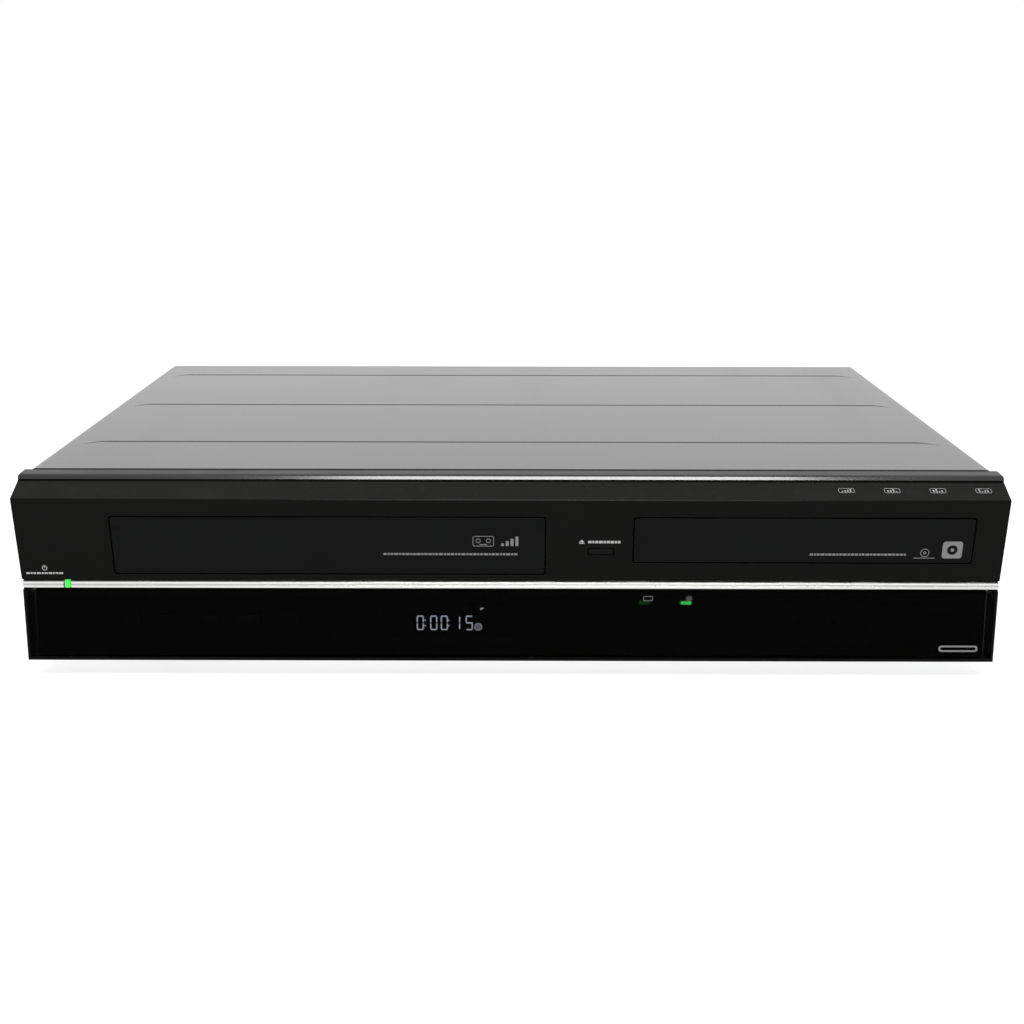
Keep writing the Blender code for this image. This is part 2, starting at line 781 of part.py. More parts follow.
def build_bezel():
    outside = [
        (LIP_Y, BASE_Z),
        (BEZEL_BACK_Y, BASE_Z),
        (BEZEL_BACK_Y, COVER_TOP_Z - COVER_PROUD),
        (SHOULDER_MID_Y, SHOULDER_MID_Z),
        (STEP_Y, STEP_TOP_Z),
        (BROW_Y + BEVEL_DEPTH, BEVEL_TOP_Z),
        (BROW_Y, BROW_Z),
        (KINK_Y, KINK_Z),
        (LEDGE_Y, CHANNEL_TOP_Z),
        (CHANNEL_Y, CHANNEL_TOP_Z),
        (CHANNEL_Y, WAIST_LOW_Z),
        (DOOR_TOP_Y, DOOR_TOP_Z),
    ]
    shape = slab("X", [outside], -BEZEL_HALF, BEZEL_HALF)
    bezel = piece("front_bezel", shape, "bezel_plastic")

    bay_half = BEZEL_HALF - CHEEK_WALL
    bay = box(
        (-bay_half, BROW_Y - OVERRUN, LIP_TOP_Z),
        (bay_half, BEZEL_BACK_Y + OVERRUN, WAIST_LOW_Z),
    )
    carve(bezel, bay)

    wall = BEZEL_WALL
    lean_wall = wall * math.hypot(1, FACE_LEAN)
    inside = [
        (face_y(SHELF_TOP_Z) + lean_wall, SHELF_TOP_Z),
        (BEZEL_BACK_Y + OVERRUN, SHELF_TOP_Z),
        (BEZEL_BACK_Y + OVERRUN, COVER_TOP_Z - wall),
        (STEP_Y + wall, BEVEL_TOP_Z - wall),
        (face_y(BROW_Z - wall) + lean_wall, BROW_Z - wall),
    ]
    inner_half = BEZEL_HALF - wall
    carve(bezel, slab("X", [inside], -inner_half, inner_half))
    carve(
        bezel,
        opening_cutter(flap_opening(), CORNER_RADIUS),
        opening_cutter(tray_opening(), CORNER_RADIUS),
        opening_cutter(grown(open_button_box(), GAP)),
    )

    standby_right = standby_ends()[1]
    pocket_back = CHANNEL_Y + STANDBY_TRAVEL + GAP
    pocket = box(
        (-BEZEL_HALF - OVERRUN, BROW_Y, STRIP_LOW_Z - GAP),
        (standby_right + GAP, pocket_back, STRIP_TOP_Z + GAP),
    )
    light_x = standby_right + GAP + LIGHT_WIDTH / 2
    back = BEZEL_BACK_Y + OVERRUN
    stem_bore = rod(
        (standby_x(), pocket_back - SINK, STRIP_MID_Z), (standby_x(), back, STRIP_MID_Z),
        STEM_RADIUS + GAP,
    )
    light_bore = rod(
        (light_x, CHANNEL_Y - SINK, STRIP_MID_Z), (light_x, back, STRIP_MID_Z),
        LIGHT_STEM_RADIUS + GAP, SMALL_SIDES,
    )
    pegs = [
        rod(
            (x, CHANNEL_Y - SINK, STRIP_MID_Z),
            (x, STRIP_BACK_Y + PEG_LENGTH + GAP, STRIP_MID_Z),
            PEG_RADIUS + GAP, SMALL_SIDES,
        )
        for x in (-PEG_PLACE, 0, PEG_PLACE)
    ]
    carve(bezel, pocket)
    carve(bezel, stem_bore, light_bore, *pegs)

    y, z = door_axis()
    bores = [
        rod(
            (side * (bay_half - SINK), y, z), (side * (BEZEL_HALF + OVERRUN), y, z),
            DOOR_PIN_RADIUS + GAP, ROUND_SIDES,
        )
        for side in (-1, 1)
    ]
    carve(bezel, *bores)

    left, low, right, high = flap_opening()
    y, z = flap_axis()
    ears = []
    bores = []
    for start in (left - GAP - EAR_WIDTH, right + GAP):
        end = start + EAR_WIDTH
        front = face_y(z) + BEZEL_WALL / 2
        ears.append(box((start, front, z - EAR_HALF), (end, y + EAR_HALF, z + EAR_HALF)))
        bore = HINGE_PIN_RADIUS + GAP
        bores.append(rod((start - SINK, y, z), (end + SINK, y, z), bore, SMALL_SIDES))
    join(bezel, *ears)
    carve(bezel, *bores)


def build_strip():
    """Bright strip across the waist, its left end a button, with the light between them."""
    chamfer = STRIP_THICKNESS * STRIP_CHAMFER_SHARE
    section = [
        (LEDGE_Y + chamfer, STRIP_LOW_Z),
        (STRIP_BACK_Y, STRIP_LOW_Z),
        (STRIP_BACK_Y, STRIP_TOP_Z),
        (LEDGE_Y + chamfer, STRIP_TOP_Z),
        (LEDGE_Y, STRIP_TOP_Z - chamfer),
        (LEDGE_Y, STRIP_LOW_Z + chamfer),
    ]
    left, standby_right = standby_ends()
    light_left = standby_right + GAP
    light_right = light_left + LIGHT_WIDTH
    z = STRIP_MID_Z

    strip = piece(
        "trim_strip", slab("X", [section], light_right + GAP, BEZEL_HALF - GAP), "bright_trim"
    )
    join(
        strip,
        *[
            rod((x, STRIP_BACK_Y - SINK, z), (x, STRIP_BACK_Y + PEG_LENGTH, z), PEG_RADIUS, SMALL_SIDES)
            for x in (-PEG_PLACE, 0, PEG_PLACE)
        ],
    )

    x = standby_x()
    button = piece(
        "standby_button", slab("X", [section], left, standby_right), "bright_trim",
        (x, STRIP_BACK_Y, z),
    )
    stem_end = switch_front_y() - GAP - STANDBY_TRAVEL
    join(button, rod((x, STRIP_BACK_Y - SINK, z), (x, stem_end, z), STEM_RADIUS, SMALL_SIDES))

    x = (light_left + light_right) / 2
    light = piece(
        "standby_light",
        box((light_left, LEDGE_Y, STRIP_LOW_Z), (light_right, STRIP_BACK_Y, STRIP_TOP_Z)),
        "light_guide",
    )
    stem_end = front_board_y() - GAP
    join(light, rod((x, STRIP_BACK_Y - SINK, z), (x, stem_end, z), LIGHT_STEM_RADIUS, SMALL_SIDES))


def front_board_y():
    """Front of the upright board behind the control deck, its switches clear of the bezel."""
    return BEZEL_BACK_Y + GAP + SWITCH_DEPTH


def switch_front_y():
    return front_board_y() - SWITCH_DEPTH


def build_flap():
    """Cassette flap: a panel with an arm and a pin at each end, turning about its top."""
    left, low, right, high = grown(flap_opening(), -FRONT_GAP)
    y, z = flap_axis()
    panel = face_panel((left, low, right, high), FLAP_THICKNESS, CORNER_RADIUS)
    flap = piece("cassette_flap", panel, "bezel_plastic", (TAPE_X, y, z))
    inside = face_y(high) + FLAP_THICKNESS / 2
    reach = HINGE_PIN_RADIUS + SINK
    arm = [
        (inside, high - HINGE_ARM_DROP),
        (y + reach, high - HINGE_ARM_DROP),
        (y + reach, z + reach),
        (y - reach, z + reach),
        (y - reach, high - CORNER_RADIUS),
        (inside, high - CORNER_RADIUS),
    ]
    inset = CORNER_RADIUS
    join(flap, slab("X", [arm], left + inset, left + inset + HINGE_ARM_WIDTH),
         slab("X", [arm], right - inset - HINGE_ARM_WIDTH, right - inset))
    reach_x = FRONT_GAP + GAP + EAR_WIDTH
    join(
        flap,
        rod((left + inset + SINK, y, z), (left - reach_x, y, z), HINGE_PIN_RADIUS, SMALL_SIDES),
        rod((right - inset - SINK, y, z), (right + reach_x, y, z), HINGE_PIN_RADIUS, SMALL_SIDES),
    )


def build_door():
    """Smoked lower door: a slab with a round foot about its hinge line, and a pin at each end."""
    y, z = door_axis()
    radius = DOOR_THICKNESS / 2
    rise = DOOR_TOP_Z - z
    lean = math.asin((LIP_Y - DOOR_TOP_Y) / rise)
    up = Vector((-math.sin(lean), math.cos(lean)))
    front = Vector((-math.cos(lean), -math.sin(lean)))
    foot = arc(y, z, radius, 180 + math.degrees(lean), 360 + math.degrees(lean), SMALL_SIDES)
    top = Vector((y, z)) + up * (rise / math.cos(lean) - radius * math.tan(lean))
    outline = foot + [tuple(top - front * radius), tuple(top + front * radius)]
    slab_shape = slab("X", [outline], -DOOR_HALF, DOOR_HALF)
    chosen = [
        e
        for e in slab_shape.edges
        if abs(e.verts[0].co.x - e.verts[1].co.x) < WELD
        and min(v.co.z for v in e.verts) > DOOR_TOP_Z - DOOR_THICKNESS
    ]
    rounded(slab_shape, chosen, DOOR_CORNER)
    door = piece("lower_door", slab_shape, "smoked_plastic", (0, y, z))
    join(
        door,
        *[
            rod(
                (side * (DOOR_HALF - OVERRUN), y, z), (side * (DOOR_HALF + DOOR_PIN_REACH), y, z),
                DOOR_PIN_RADIUS, ROUND_SIDES,
            )
            for side in (-1, 1)
        ],
    )


def build_open_button():
    left, low, right, high = open_button_box()
    x, z = (left + right) / 2, (low + high) / 2
    cap = face_panel((left, low, right, high), OPEN_THICKNESS, back=-OPEN_STAND)
    button = piece("open_close_button", cap, "bezel_plastic", (x, face_y(z), z))
    wall_back = face_y(low) + BEZEL_WALL * math.hypot(1, FACE_LEAN)
    flange_y = wall_back + GAP
    cap_back = face_y(high) - OPEN_STAND + OPEN_THICKNESS
    flange = box(
        (left - OPEN_FLANGE, flange_y, low - OPEN_FLANGE / 2),
        (right + OPEN_FLANGE, flange_y + OPEN_FLANGE, high + OPEN_FLANGE / 2),
    )
    core = box(
        (left + SINK, cap_back - SINK, low + SINK), (right - SINK, flange_y + SINK, high - SINK)
    )
    join(button, core)
    join(button, flange)
    stem_end = switch_front_y() - GAP - OPEN_TRAVEL
    join(button, rod((x, flange_y + SINK, z), (x, stem_end, z), STEM_RADIUS, SMALL_SIDES))


def key_places():
    z = LIP_TOP_Z + KEY_RISE
    return [(name, KEY_FIRST_X + KEY_PITCH * i, z) for i, name in enumerate(KEY_NAMES)]


def front_socket_places():
    z = (LIP_TOP_Z + WAIST_LOW_Z) / 2
    return [(FRONT_SOCKET_X + SOCKET_PITCH * i, z) for i in range(FRONT_SOCKET_COUNT)]


def mode_boxes():
    z = DOOR_TOP_Z - MODE_DROP
    return [
        (x - MODE_WIDTH / 2, z - MODE_HEIGHT / 2, x + MODE_WIDTH / 2, z + MODE_HEIGHT / 2)
        for x in (MODE_LEFT_X, MODE_RIGHT_X)
    ]


def display_box():
    low = LIP_TOP_Z + DISPLAY_LIFT
    half = DISPLAY_WIDTH / 2
    return DISPLAY_X - half, low, DISPLAY_X + half, low + DISPLAY_HEIGHT


def pillar_places():
    """Places of the pillars that hold the front board, each beside what the deck carries."""
    return [
        KEY_FIRST_X - PILLAR_MARGIN,
        display_box()[0] - PILLAR_MARGIN,
        MODE_LEFT_X - PILLAR_MARGIN,
        BOARD_RIGHT - PILLAR_MARGIN,
    ]


def key_box(x, z):
    return x - KEY_WIDTH / 2, z - KEY_HEIGHT / 2, x + KEY_WIDTH / 2, z + KEY_HEIGHT / 2


def build_control_deck():
    """Upright wall behind the lower door, with holes for its keys, lights, display and sockets."""
    front = BROW_Y + DECK_SETBACK
    back = front + DECK_THICKNESS
    half = BEZEL_HALF - CHEEK_WALL - DECK_SIDE_GAP
    loops = [rectangle(-half, LIP_TOP_Z + GAP, half, WAIST_LOW_Z - GAP)]
    loops += [rectangle(*grown(key_box(x, z), GAP)) for name, x, z in key_places()]
    loops += [circle(x, z, SOCKET_RADIUS + GAP, BARREL_SIDES) for x, z in front_socket_places()]
    loops += [rectangle(*grown(corners, GAP)) for corners in mode_boxes()]
    loops.append(rectangle(*grown(display_box(), -WINDOW_MARGIN)))
    deck = piece("control_deck", slab("Y", loops, front, back), "bezel_plastic")
    z = DOOR_TOP_Z - MODE_DROP
    end = front_board_y() - GAP
    pillars = [rod((x, back - SINK, z), (x, end, z), PILLAR_RADIUS, SMALL_SIDES) for x in pillar_places()]
    join(deck, *pillars, solver="MANIFOLD")

    for name, x, z in key_places():
        left, low, right, high = key_box(x, z)
        cap = box((left, front - KEY_REACH, low), (right, back + GAP + SINK, high))
        key = piece(name, cap, "dark_plastic", (x, front - KEY_REACH, z))
        flange_front = back + GAP
        flange_back = flange_front + KEY_FLANGE_THICKNESS
        join(
            key,
            box(
                (left - KEY_FLANGE, flange_front, low - KEY_FLANGE),
                (right + KEY_FLANGE, flange_back, high + KEY_FLANGE),
            ),
        )
        stem_end = switch_front_y() - GAP - KEY_TRAVEL
        join(key, rod((x, flange_back - SINK, z), (x, stem_end, z), STEM_RADIUS, SMALL_SIDES))

    bar_front = back + GAP
    bar_back = bar_front + MODE_HEIGHT
    boxes = mode_boxes()
    bar = box(
        (boxes[0][0] - MODE_HEIGHT, bar_front, boxes[0][1] - MODE_HEIGHT / 2),
        (boxes[1][2] + MODE_HEIGHT, bar_back, boxes[0][3] + MODE_HEIGHT / 2),
    )
    lights = piece("mode_lights", bar, "light_guide")
    join(lights, *[box((a, front, b), (c, bar_front + SINK, d)) for a, b, c, d in boxes])
    z = (boxes[0][1] + boxes[0][3]) / 2
    x = (MODE_LEFT_X + MODE_RIGHT_X) / 2
    join(lights, rod((x, bar_back - SINK, z), (x, end, z), LIGHT_STEM_RADIUS, SMALL_SIDES))

    left, low, right, high = display_box()
    module_front = back + GAP
    piece(
        "display_module",
        box((left, module_front, low), (right, end, high)),
        "display_glass",
    )

    places = front_socket_places()
    z = places[0][1]
    margin = SOCKET_RADIUS + SOCKET_BORE
    body = box(
        (places[0][0] - margin, back + GAP, z - margin),
        (places[-1][0] + margin, back + GAP + FRONT_SOCKET_DEPTH, z + margin),
    )
    sockets = piece("front_sockets", body, "dark_plastic")
    join(
        sockets,
        *[
            rod((x, front - KEY_REACH, z), (x, back + GAP + SINK, z), SOCKET_RADIUS, BARREL_SIDES)
            for x, z in places
        ],
    )
    start = front - KEY_REACH
    floor_y = back + FRONT_SOCKET_DEPTH / 2
    carve(
        sockets,
        *[rod((x, start - SINK, z), (x, floor_y, z), SOCKET_BORE, SMALL_SIDES) for x, z in places],
    )


def build_front_board():
    """Upright board that carries the display and a small switch behind each key and button."""
    front = front_board_y()
    top = STRIP_TOP_Z + BOARD_TOP_MARGIN
    low = PAN_TOP_Z + FRONT_BOARD_LIFT
    open_z = sum(open_button_box()[1::2]) / 2
    tower_top = open_z + TOWER_MARGIN
    outline = [
        (BOARD_LEFT, low),
        (BOARD_RIGHT, low),
        (BOARD_RIGHT, top),
        (OPEN_X + TOWER_WIDTH / 2, top),
        (OPEN_X + TOWER_WIDTH / 2, tower_top),
        (OPEN_X - TOWER_WIDTH / 2, tower_top),
        (OPEN_X - TOWER_WIDTH / 2, top),
        (BOARD_LEFT, top),
    ]
    board = piece("front_board", slab("Y", [outline], front, front + BOARD), "board_green")
    places = [(x, z) for name, x, z in key_places()]
    places += [(standby_x(), STRIP_MID_Z), (OPEN_X, open_z)]
    half = SWITCH_SIZE / 2
    join(
        board,
        *[
            box((x - half, switch_front_y(), z - half), (x + half, front + SINK, z + half))
            for x, z in places
        ],
    )


def foot_places():
    front = COVER_FRONT_Y + FOOT_INSET_FRONT
    rear = COVER_REAR_Y - FOOT_INSET_REAR
    return [
        ("foot_front_left", -FOOT_PLACE_X, front),
        ("foot_front_right", FOOT_PLACE_X, front),
        ("foot_rear_left", -FOOT_PLACE_X, rear),
        ("foot_rear_right", FOOT_PLACE_X, rear),
    ]


def screw_places():
    z = PAN_TOP_Z + SCREW_RISE
    front = COVER_FRONT_Y + SCREW_INSET
    rear = COVER_REAR_Y - SCREW_INSET
    return [
        ("cover_screw_front_left", -1, front, z),
        ("cover_screw_front_right", 1, front, z),
        ("cover_screw_rear_left", -1, rear, z),
        ("cover_screw_rear_right", 1, rear, z),
    ]


def main_standoffs():
    front = BROW_Y + MAIN_FRONT
    back = INSIDE_REAR_Y - BOARD_REAR_GAP
    inset = STANDOFF_RADIUS * 2
    middle = front + (back - front) * MAIN_MIDDLE_SHARE
    return [
        (x, y)
        for x in (MAIN_LEFT + inset, MAIN_RIGHT - inset)
        for y in (front + 2 * inset, middle, back - inset)
    ]


def power_standoffs():
    front = BROW_Y + POWER_FRONT
    back = INSIDE_REAR_Y - BOARD_REAR_GAP
    inset = STANDOFF_RADIUS * 2
    return [
        (x, y)
        for x in (POWER_LEFT + inset, POWER_RIGHT - inset)
        for y in (front + inset, back - inset)
    ]


def build_chassis():
    half, low, top = PAN_HALF, PAN_LOW_Z, PAN_LOW_Z + PAN_FLANGE_HEIGHT
    section = [
        (-half, low), (half, low), (half, top), (half - SHEET, top),
        (half - SHEET, PAN_TOP_Z), (-half + SHEET, PAN_TOP_Z), (-half + SHEET, top), (-half, top),
    ]
    front = BEZEL_BACK_Y + GAP
    pan = piece("bottom_chassis", slab("Y", [section], front, REAR_BACK_Y), "zinc_sheet")
    carve(
        pan,
        *[
            rod((x, y, low - OVERRUN), (x, y, PAN_TOP_Z + OVERRUN), FOOT_STEM_RADIUS + GAP)
            for name, x, y in foot_places()
        ],
    )
    bore = SCREW_SHANK_RADIUS + GAP
    carve(
        pan,
        *[
            rod((side * (half - SHEET - OVERRUN), y, z), (side * (half + OVERRUN), y, z), bore)
            for name, side, y, z in screw_places()
        ],
    )
    seat = PAN_TOP_Z + BOARD_SEAT - GAP
    join(
        pan,
        *[
            rod((x, y, low + SHEET / 2), (x, y, seat), STANDOFF_RADIUS, SMALL_SIDES)
            for x, y in main_standoffs() + power_standoffs()
        ],
    )

    for name, x, y in foot_places():
        stem = FOOT_STEM_RADIUS
        seat = PAN_LOW_Z - GAP
        turned(
            name,
            [
                (0, PAN_TOP_Z + FOOT_STEM_RISE), (stem, PAN_TOP_Z + FOOT_STEM_RISE), (stem, seat),
                (FOOT_RADIUS, seat), (FOOT_TOE_RADIUS, 0), (0, 0),
            ],
            "rubber", (x, y, 0), LARGE_SIDES - SMALL_SIDES,
        )
    for name, side, y, z in screw_places():
        head = side * (COVER_HALF + GAP)
        screw = piece(
            name, rod((head, y, z), (head + side * SCREW_HEAD_HEIGHT, y, z), SCREW_HEAD_RADIUS),
            "bright_metal",
        )
        end = side * (COVER_HALF - SCREW_SHANK_LENGTH)
        join(screw, rod((end, y, z), (head + side * SINK, y, z), SCREW_SHANK_RADIUS))


def hooked_line(y):
    """Cutter for one pressed line: level across the top, with both ends bent to the front."""
    ends = []
    for i in range(SQUARE + 1):
        share = i / SQUARE
        ends.append((LINE_HALF_SPAN + LINE_HOOK_LENGTH * share, y - LINE_HOOK_DEPTH * share * share))
    middle = [(-x, depth) for x, depth in reversed(ends)] + ends
    half = LINE_WIDTH / 2
    loop = shifted(middle, 0, -half) + shifted(reversed(middle), 0, half)
    return slab("Z", [loop], COVER_TOP_Z - LINE_DEPTH, COVER_TOP_Z + OVERRUN)


def line_places():
    first = COVER_FRONT_Y + LINE_FIRST
    return [first, first + LINE_PITCH, first + 2 * LINE_PITCH]


def build_cover():
    section = channel(COVER_HALF, PAN_LOW_Z, COVER_TOP_Z, SHEET, COVER_BEND)
    cover = piece("top_cover", slab("Y", [section], COVER_FRONT_Y, COVER_REAR_Y), "case_paint")
    carve(cover, *[hooked_line(y) for y in line_places()])
    wide = COVER_HALF + OVERRUN
    high = COVER_TOP_Z - VENT_DROP
    last = COVER_REAR_Y - VENT_BACK
    low = high - VENT_HEIGHT
    half = VENT_WIDTH / 2
    places = [last - VENT_PITCH * i for i in range(VENT_COUNT)]
    vents = [box((-wide, y - half, low), (wide, y + half, high)) for y in places]
    bore = SCREW_SHANK_RADIUS + GAP
    holes = [rod((-wide, y, z), (wide, y, z), bore) for name, side, y, z in screw_places()[::2]]
    carve(cover, *vents, *holes)
    half = TAB_WIDTH / 2
    tabs = [
        box(
            (x - half, COVER_REAR_Y - SHEET, COVER_UNDER_Z - TAB_HEIGHT),
            (x + half, COVER_REAR_Y, COVER_UNDER_Z + SINK),
        )
        for x in (-TAB_PLACE_OUTER, -TAB_PLACE_INNER, TAB_PLACE_INNER, TAB_PLACE_OUTER)
    ]
    join(cover, *tabs)


def jack_places():
    low = board_top_z() + JACK_LIFT
    return [
        (JACK_FIRST_X + JACK_PITCH_X * i, low + JACK_PITCH_Z * j)
        for j in range(JACK_ROWS)
        for i in range(JACK_COLUMNS)
    ]


def aerial_places():
    low = board_top_z() + JACK_LIFT
    return [(AERIAL_X, low), (AERIAL_X, low + JACK_PITCH_Z)]


def board_top_z():
    return PAN_TOP_Z + BOARD_SEAT + BOARD


def digital_box():
    low = board_top_z() + GAP + DIGITAL_LIFT
    return DIGITAL_X - DIGITAL_WIDTH / 2, low, DIGITAL_X + DIGITAL_WIDTH / 2, low + DIGITAL_HEIGHT


def inlet_box():
    low = board_top_z() + INLET_LIFT
    return INLET_X - INLET_WIDTH / 2, low, INLET_X + INLET_WIDTH / 2, low + INLET_HEIGHT


def fan_centre():
    return FAN_X, PAN_TOP_Z + FAN_LIFT


def grille_slots():
    """Level slots across the fan's bore, each as wide as the circle is there."""
    x, z = fan_centre()
    pitch = 2 * FAN_BORE / (GRILLE_BARS + 1)
    slots = []
    for i in range(GRILLE_BARS):
        level = (i - (GRILLE_BARS - 1) / 2) * pitch
        reach = abs(level) + pitch / 4
        half = math.sqrt(FAN_BORE * FAN_BORE - reach * reach)
        slots.append(rectangle(x - half, z + level - pitch / 4, x + half, z + level + pitch / 4))
    return slots


def build_rear_panel():
    loops = [rear_outline()]
    loops += [circle(x, z, SOCKET_RADIUS + GAP, BARREL_SIDES) for x, z in jack_places()]
    loops += [circle(x, z, AERIAL_RADIUS + GAP, BARREL_SIDES) for x, z in aerial_places()]
    loops.append(rectangle(*grown(digital_box(), GAP)))
    loops.append(rectangle(*grown(inlet_box(), GAP)))
    loops += grille_slots()
    piece("rear_panel", slab("Y", loops, REAR_FRONT_Y, REAR_BACK_Y), "zinc_sheet")


def rear_outline():
    """Edge of the rear panel, notched round the pan's flanges and cut back at the cover's bends."""
    low, high = PAN_TOP_Z + GAP, COVER_UNDER_Z - GAP
    step = PAN_LOW_Z + PAN_FLANGE_HEIGHT + GAP
    notch = PAN_HALF - SHEET - GAP
    right = [
        (notch, low), (notch, step), (PAN_HALF, step), (PAN_HALF, high - COVER_BEND),
        (PAN_HALF - COVER_BEND, high),
    ]
    return right + [(-x, z) for x, z in reversed(right)]


def build_rear_sockets():
    places = jack_places()
    margin = SOCKET_RADIUS + SOCKET_BORE
    top = places[-1][1] + margin
    body = box(
        (places[0][0] - margin, INSIDE_REAR_Y - JACK_DEPTH, board_top_z() + GAP),
        (places[-1][0] + margin, INSIDE_REAR_Y, top),
    )
    jacks = piece("rear_sockets", body, "dark_plastic")
    end = REAR_BACK_Y + SOCKET_REACH
    join(
        jacks,
        *[rod((x, INSIDE_REAR_Y - SINK, z), (x, end, z), SOCKET_RADIUS, BARREL_SIDES) for x, z in places],
    )
    carve(
        jacks,
        *[rod((x, REAR_BACK_Y, z), (x, end + SINK, z), SOCKET_BORE, SMALL_SIDES) for x, z in places],
    )

    places = aerial_places()
    margin = AERIAL_RADIUS + SOCKET_BORE
    body = box(
        (AERIAL_X - margin, INSIDE_REAR_Y - AERIAL_DEPTH, board_top_z() + GAP),
        (AERIAL_X + margin, INSIDE_REAR_Y, places[-1][1] + margin),
    )
    aerial = piece("aerial_sockets", body, "bright_metal")
    join(
        aerial,
        *[rod((x, INSIDE_REAR_Y - SINK, z), (x, end, z), AERIAL_RADIUS, BARREL_SIDES) for x, z in places],
    )
    carve(
        aerial,
        *[rod((x, REAR_BACK_Y, z), (x, end + SINK, z), SOCKET_BORE, SMALL_SIDES) for x, z in places],
    )

    left, low, right, high = digital_box()
    shell = piece(
        "digital_socket",
        box((left, INSIDE_REAR_Y - DIGITAL_DEPTH, low), (right, REAR_BACK_Y, high)),
        "bright_metal",
    )
    carve(
        shell,
        box(
            (left + DIGITAL_WALL, REAR_BACK_Y - DIGITAL_BORE, low + DIGITAL_WALL),
            (right - DIGITAL_WALL, REAR_BACK_Y + OVERRUN, high - DIGITAL_WALL),
        ),
    )
    base = board_top_z() + GAP
    join(
        shell,
        box(
            (left + DIGITAL_WALL, INSIDE_REAR_Y - DIGITAL_DEPTH + DIGITAL_WALL, base),
            (right - DIGITAL_WALL, INSIDE_REAR_Y - DIGITAL_WALL, low + SINK),
        ),
    )

    left, low, right, high = inlet_box()
    inlet = piece(
        "mains_inlet",
        box((left, INSIDE_REAR_Y - INLET_DEPTH, low), (right, REAR_BACK_Y + INLET_REACH, high)),
        "dark_plastic",
    )
    floor_y = REAR_BACK_Y + INLET_REACH - INLET_BORE
    carve(
        inlet,
        box(
            (left + INLET_WALL, floor_y, low + INLET_WALL),
            (right - INLET_WALL, REAR_BACK_Y + INLET_REACH + OVERRUN, high - INLET_WALL),
        ),
    )
    z = (low + high) / 2
    tip = REAR_BACK_Y - INLET_REACH
    join(
        inlet,
        *[
            rod((INLET_X + side * INLET_PIN_PITCH / 2, floor_y - SINK, z),
                (INLET_X + side * INLET_PIN_PITCH / 2, tip, z), INLET_PIN_RADIUS, SMALL_SIDES)
            for side in (-1, 1)
        ],
    )
    join(
        inlet,
        box(
            (left + INLET_WALL, INSIDE_REAR_Y - INLET_DEPTH + INLET_WALL, board_top_z() + GAP),
            (right - INLET_WALL, INSIDE_REAR_Y - INLET_WALL, low + SINK),
        ),
    )


def build_fan():
    x, z = fan_centre()
    back = INSIDE_REAR_Y
    front = back - FAN_DEPTH
    half = FAN_SIZE / 2
    loops = [rectangle(x - half, z - half, x + half, z + half), circle(x, z, FAN_BORE, LARGE_SIDES)]
    frame = piece("fan_frame", slab("Y", loops, front, back), "dark_plastic")
    arm = FAN_ARM / 2
    reach = FAN_BORE + SINK
    arm_front = back - arm
    join(frame, box((x - reach, arm_front, z - arm), (x + reach, back - WELD, z + arm)))
    join(frame, box((x - arm, arm_front, z - reach), (x + arm, back - WELD, z + reach)))
    join(frame, rod((x, arm_front - SINK, z), (x, back - WELD, z), FAN_HUB))
    rotor_back = arm_front - SINK - GAP
    rotor_front = rotor_back - FAN_ROTOR_DEPTH
    carve(frame, rod((x, arm_front - OVERRUN, z), (x, back + OVERRUN, z), FAN_SHAFT + GAP, SMALL_SIDES))

    hub = rod((x, rotor_front, z), (x, rotor_back, z), FAN_HUB)
    rotor = piece("fan_rotor", hub, "dark_plastic", (x, rotor_front, z))
    blades = []
    middle = (rotor_front + rotor_back) / 2
    tip = FAN_BORE - FAN_TIP_GAP
    for i in range(FAN_BLADES):
        blade = box(
            (FAN_HUB - SINK, -FAN_BLADE_THICKNESS / 2, -FAN_ROTOR_DEPTH / 2 + SINK),
            (tip, FAN_BLADE_THICKNESS / 2, FAN_ROTOR_DEPTH / 2 - SINK),
        )
        pitch = Matrix.Rotation(math.radians(FAN_BLADE_PITCH), 4, "X")
        around = Matrix.Rotation(2 * math.pi * i / FAN_BLADES, 4, "Z")
        upright = Matrix.Rotation(-math.pi / 2, 4, "X")
        bmesh.ops.transform(
            blade, matrix=Matrix.Translation((x, middle, z)) @ upright @ around @ pitch, verts=blade.verts
        )
        blades.append(blade)
    join(rotor, *blades)
    join(rotor, rod((x, rotor_back - SINK, z), (x, back, z), FAN_SHAFT, SMALL_SIDES))


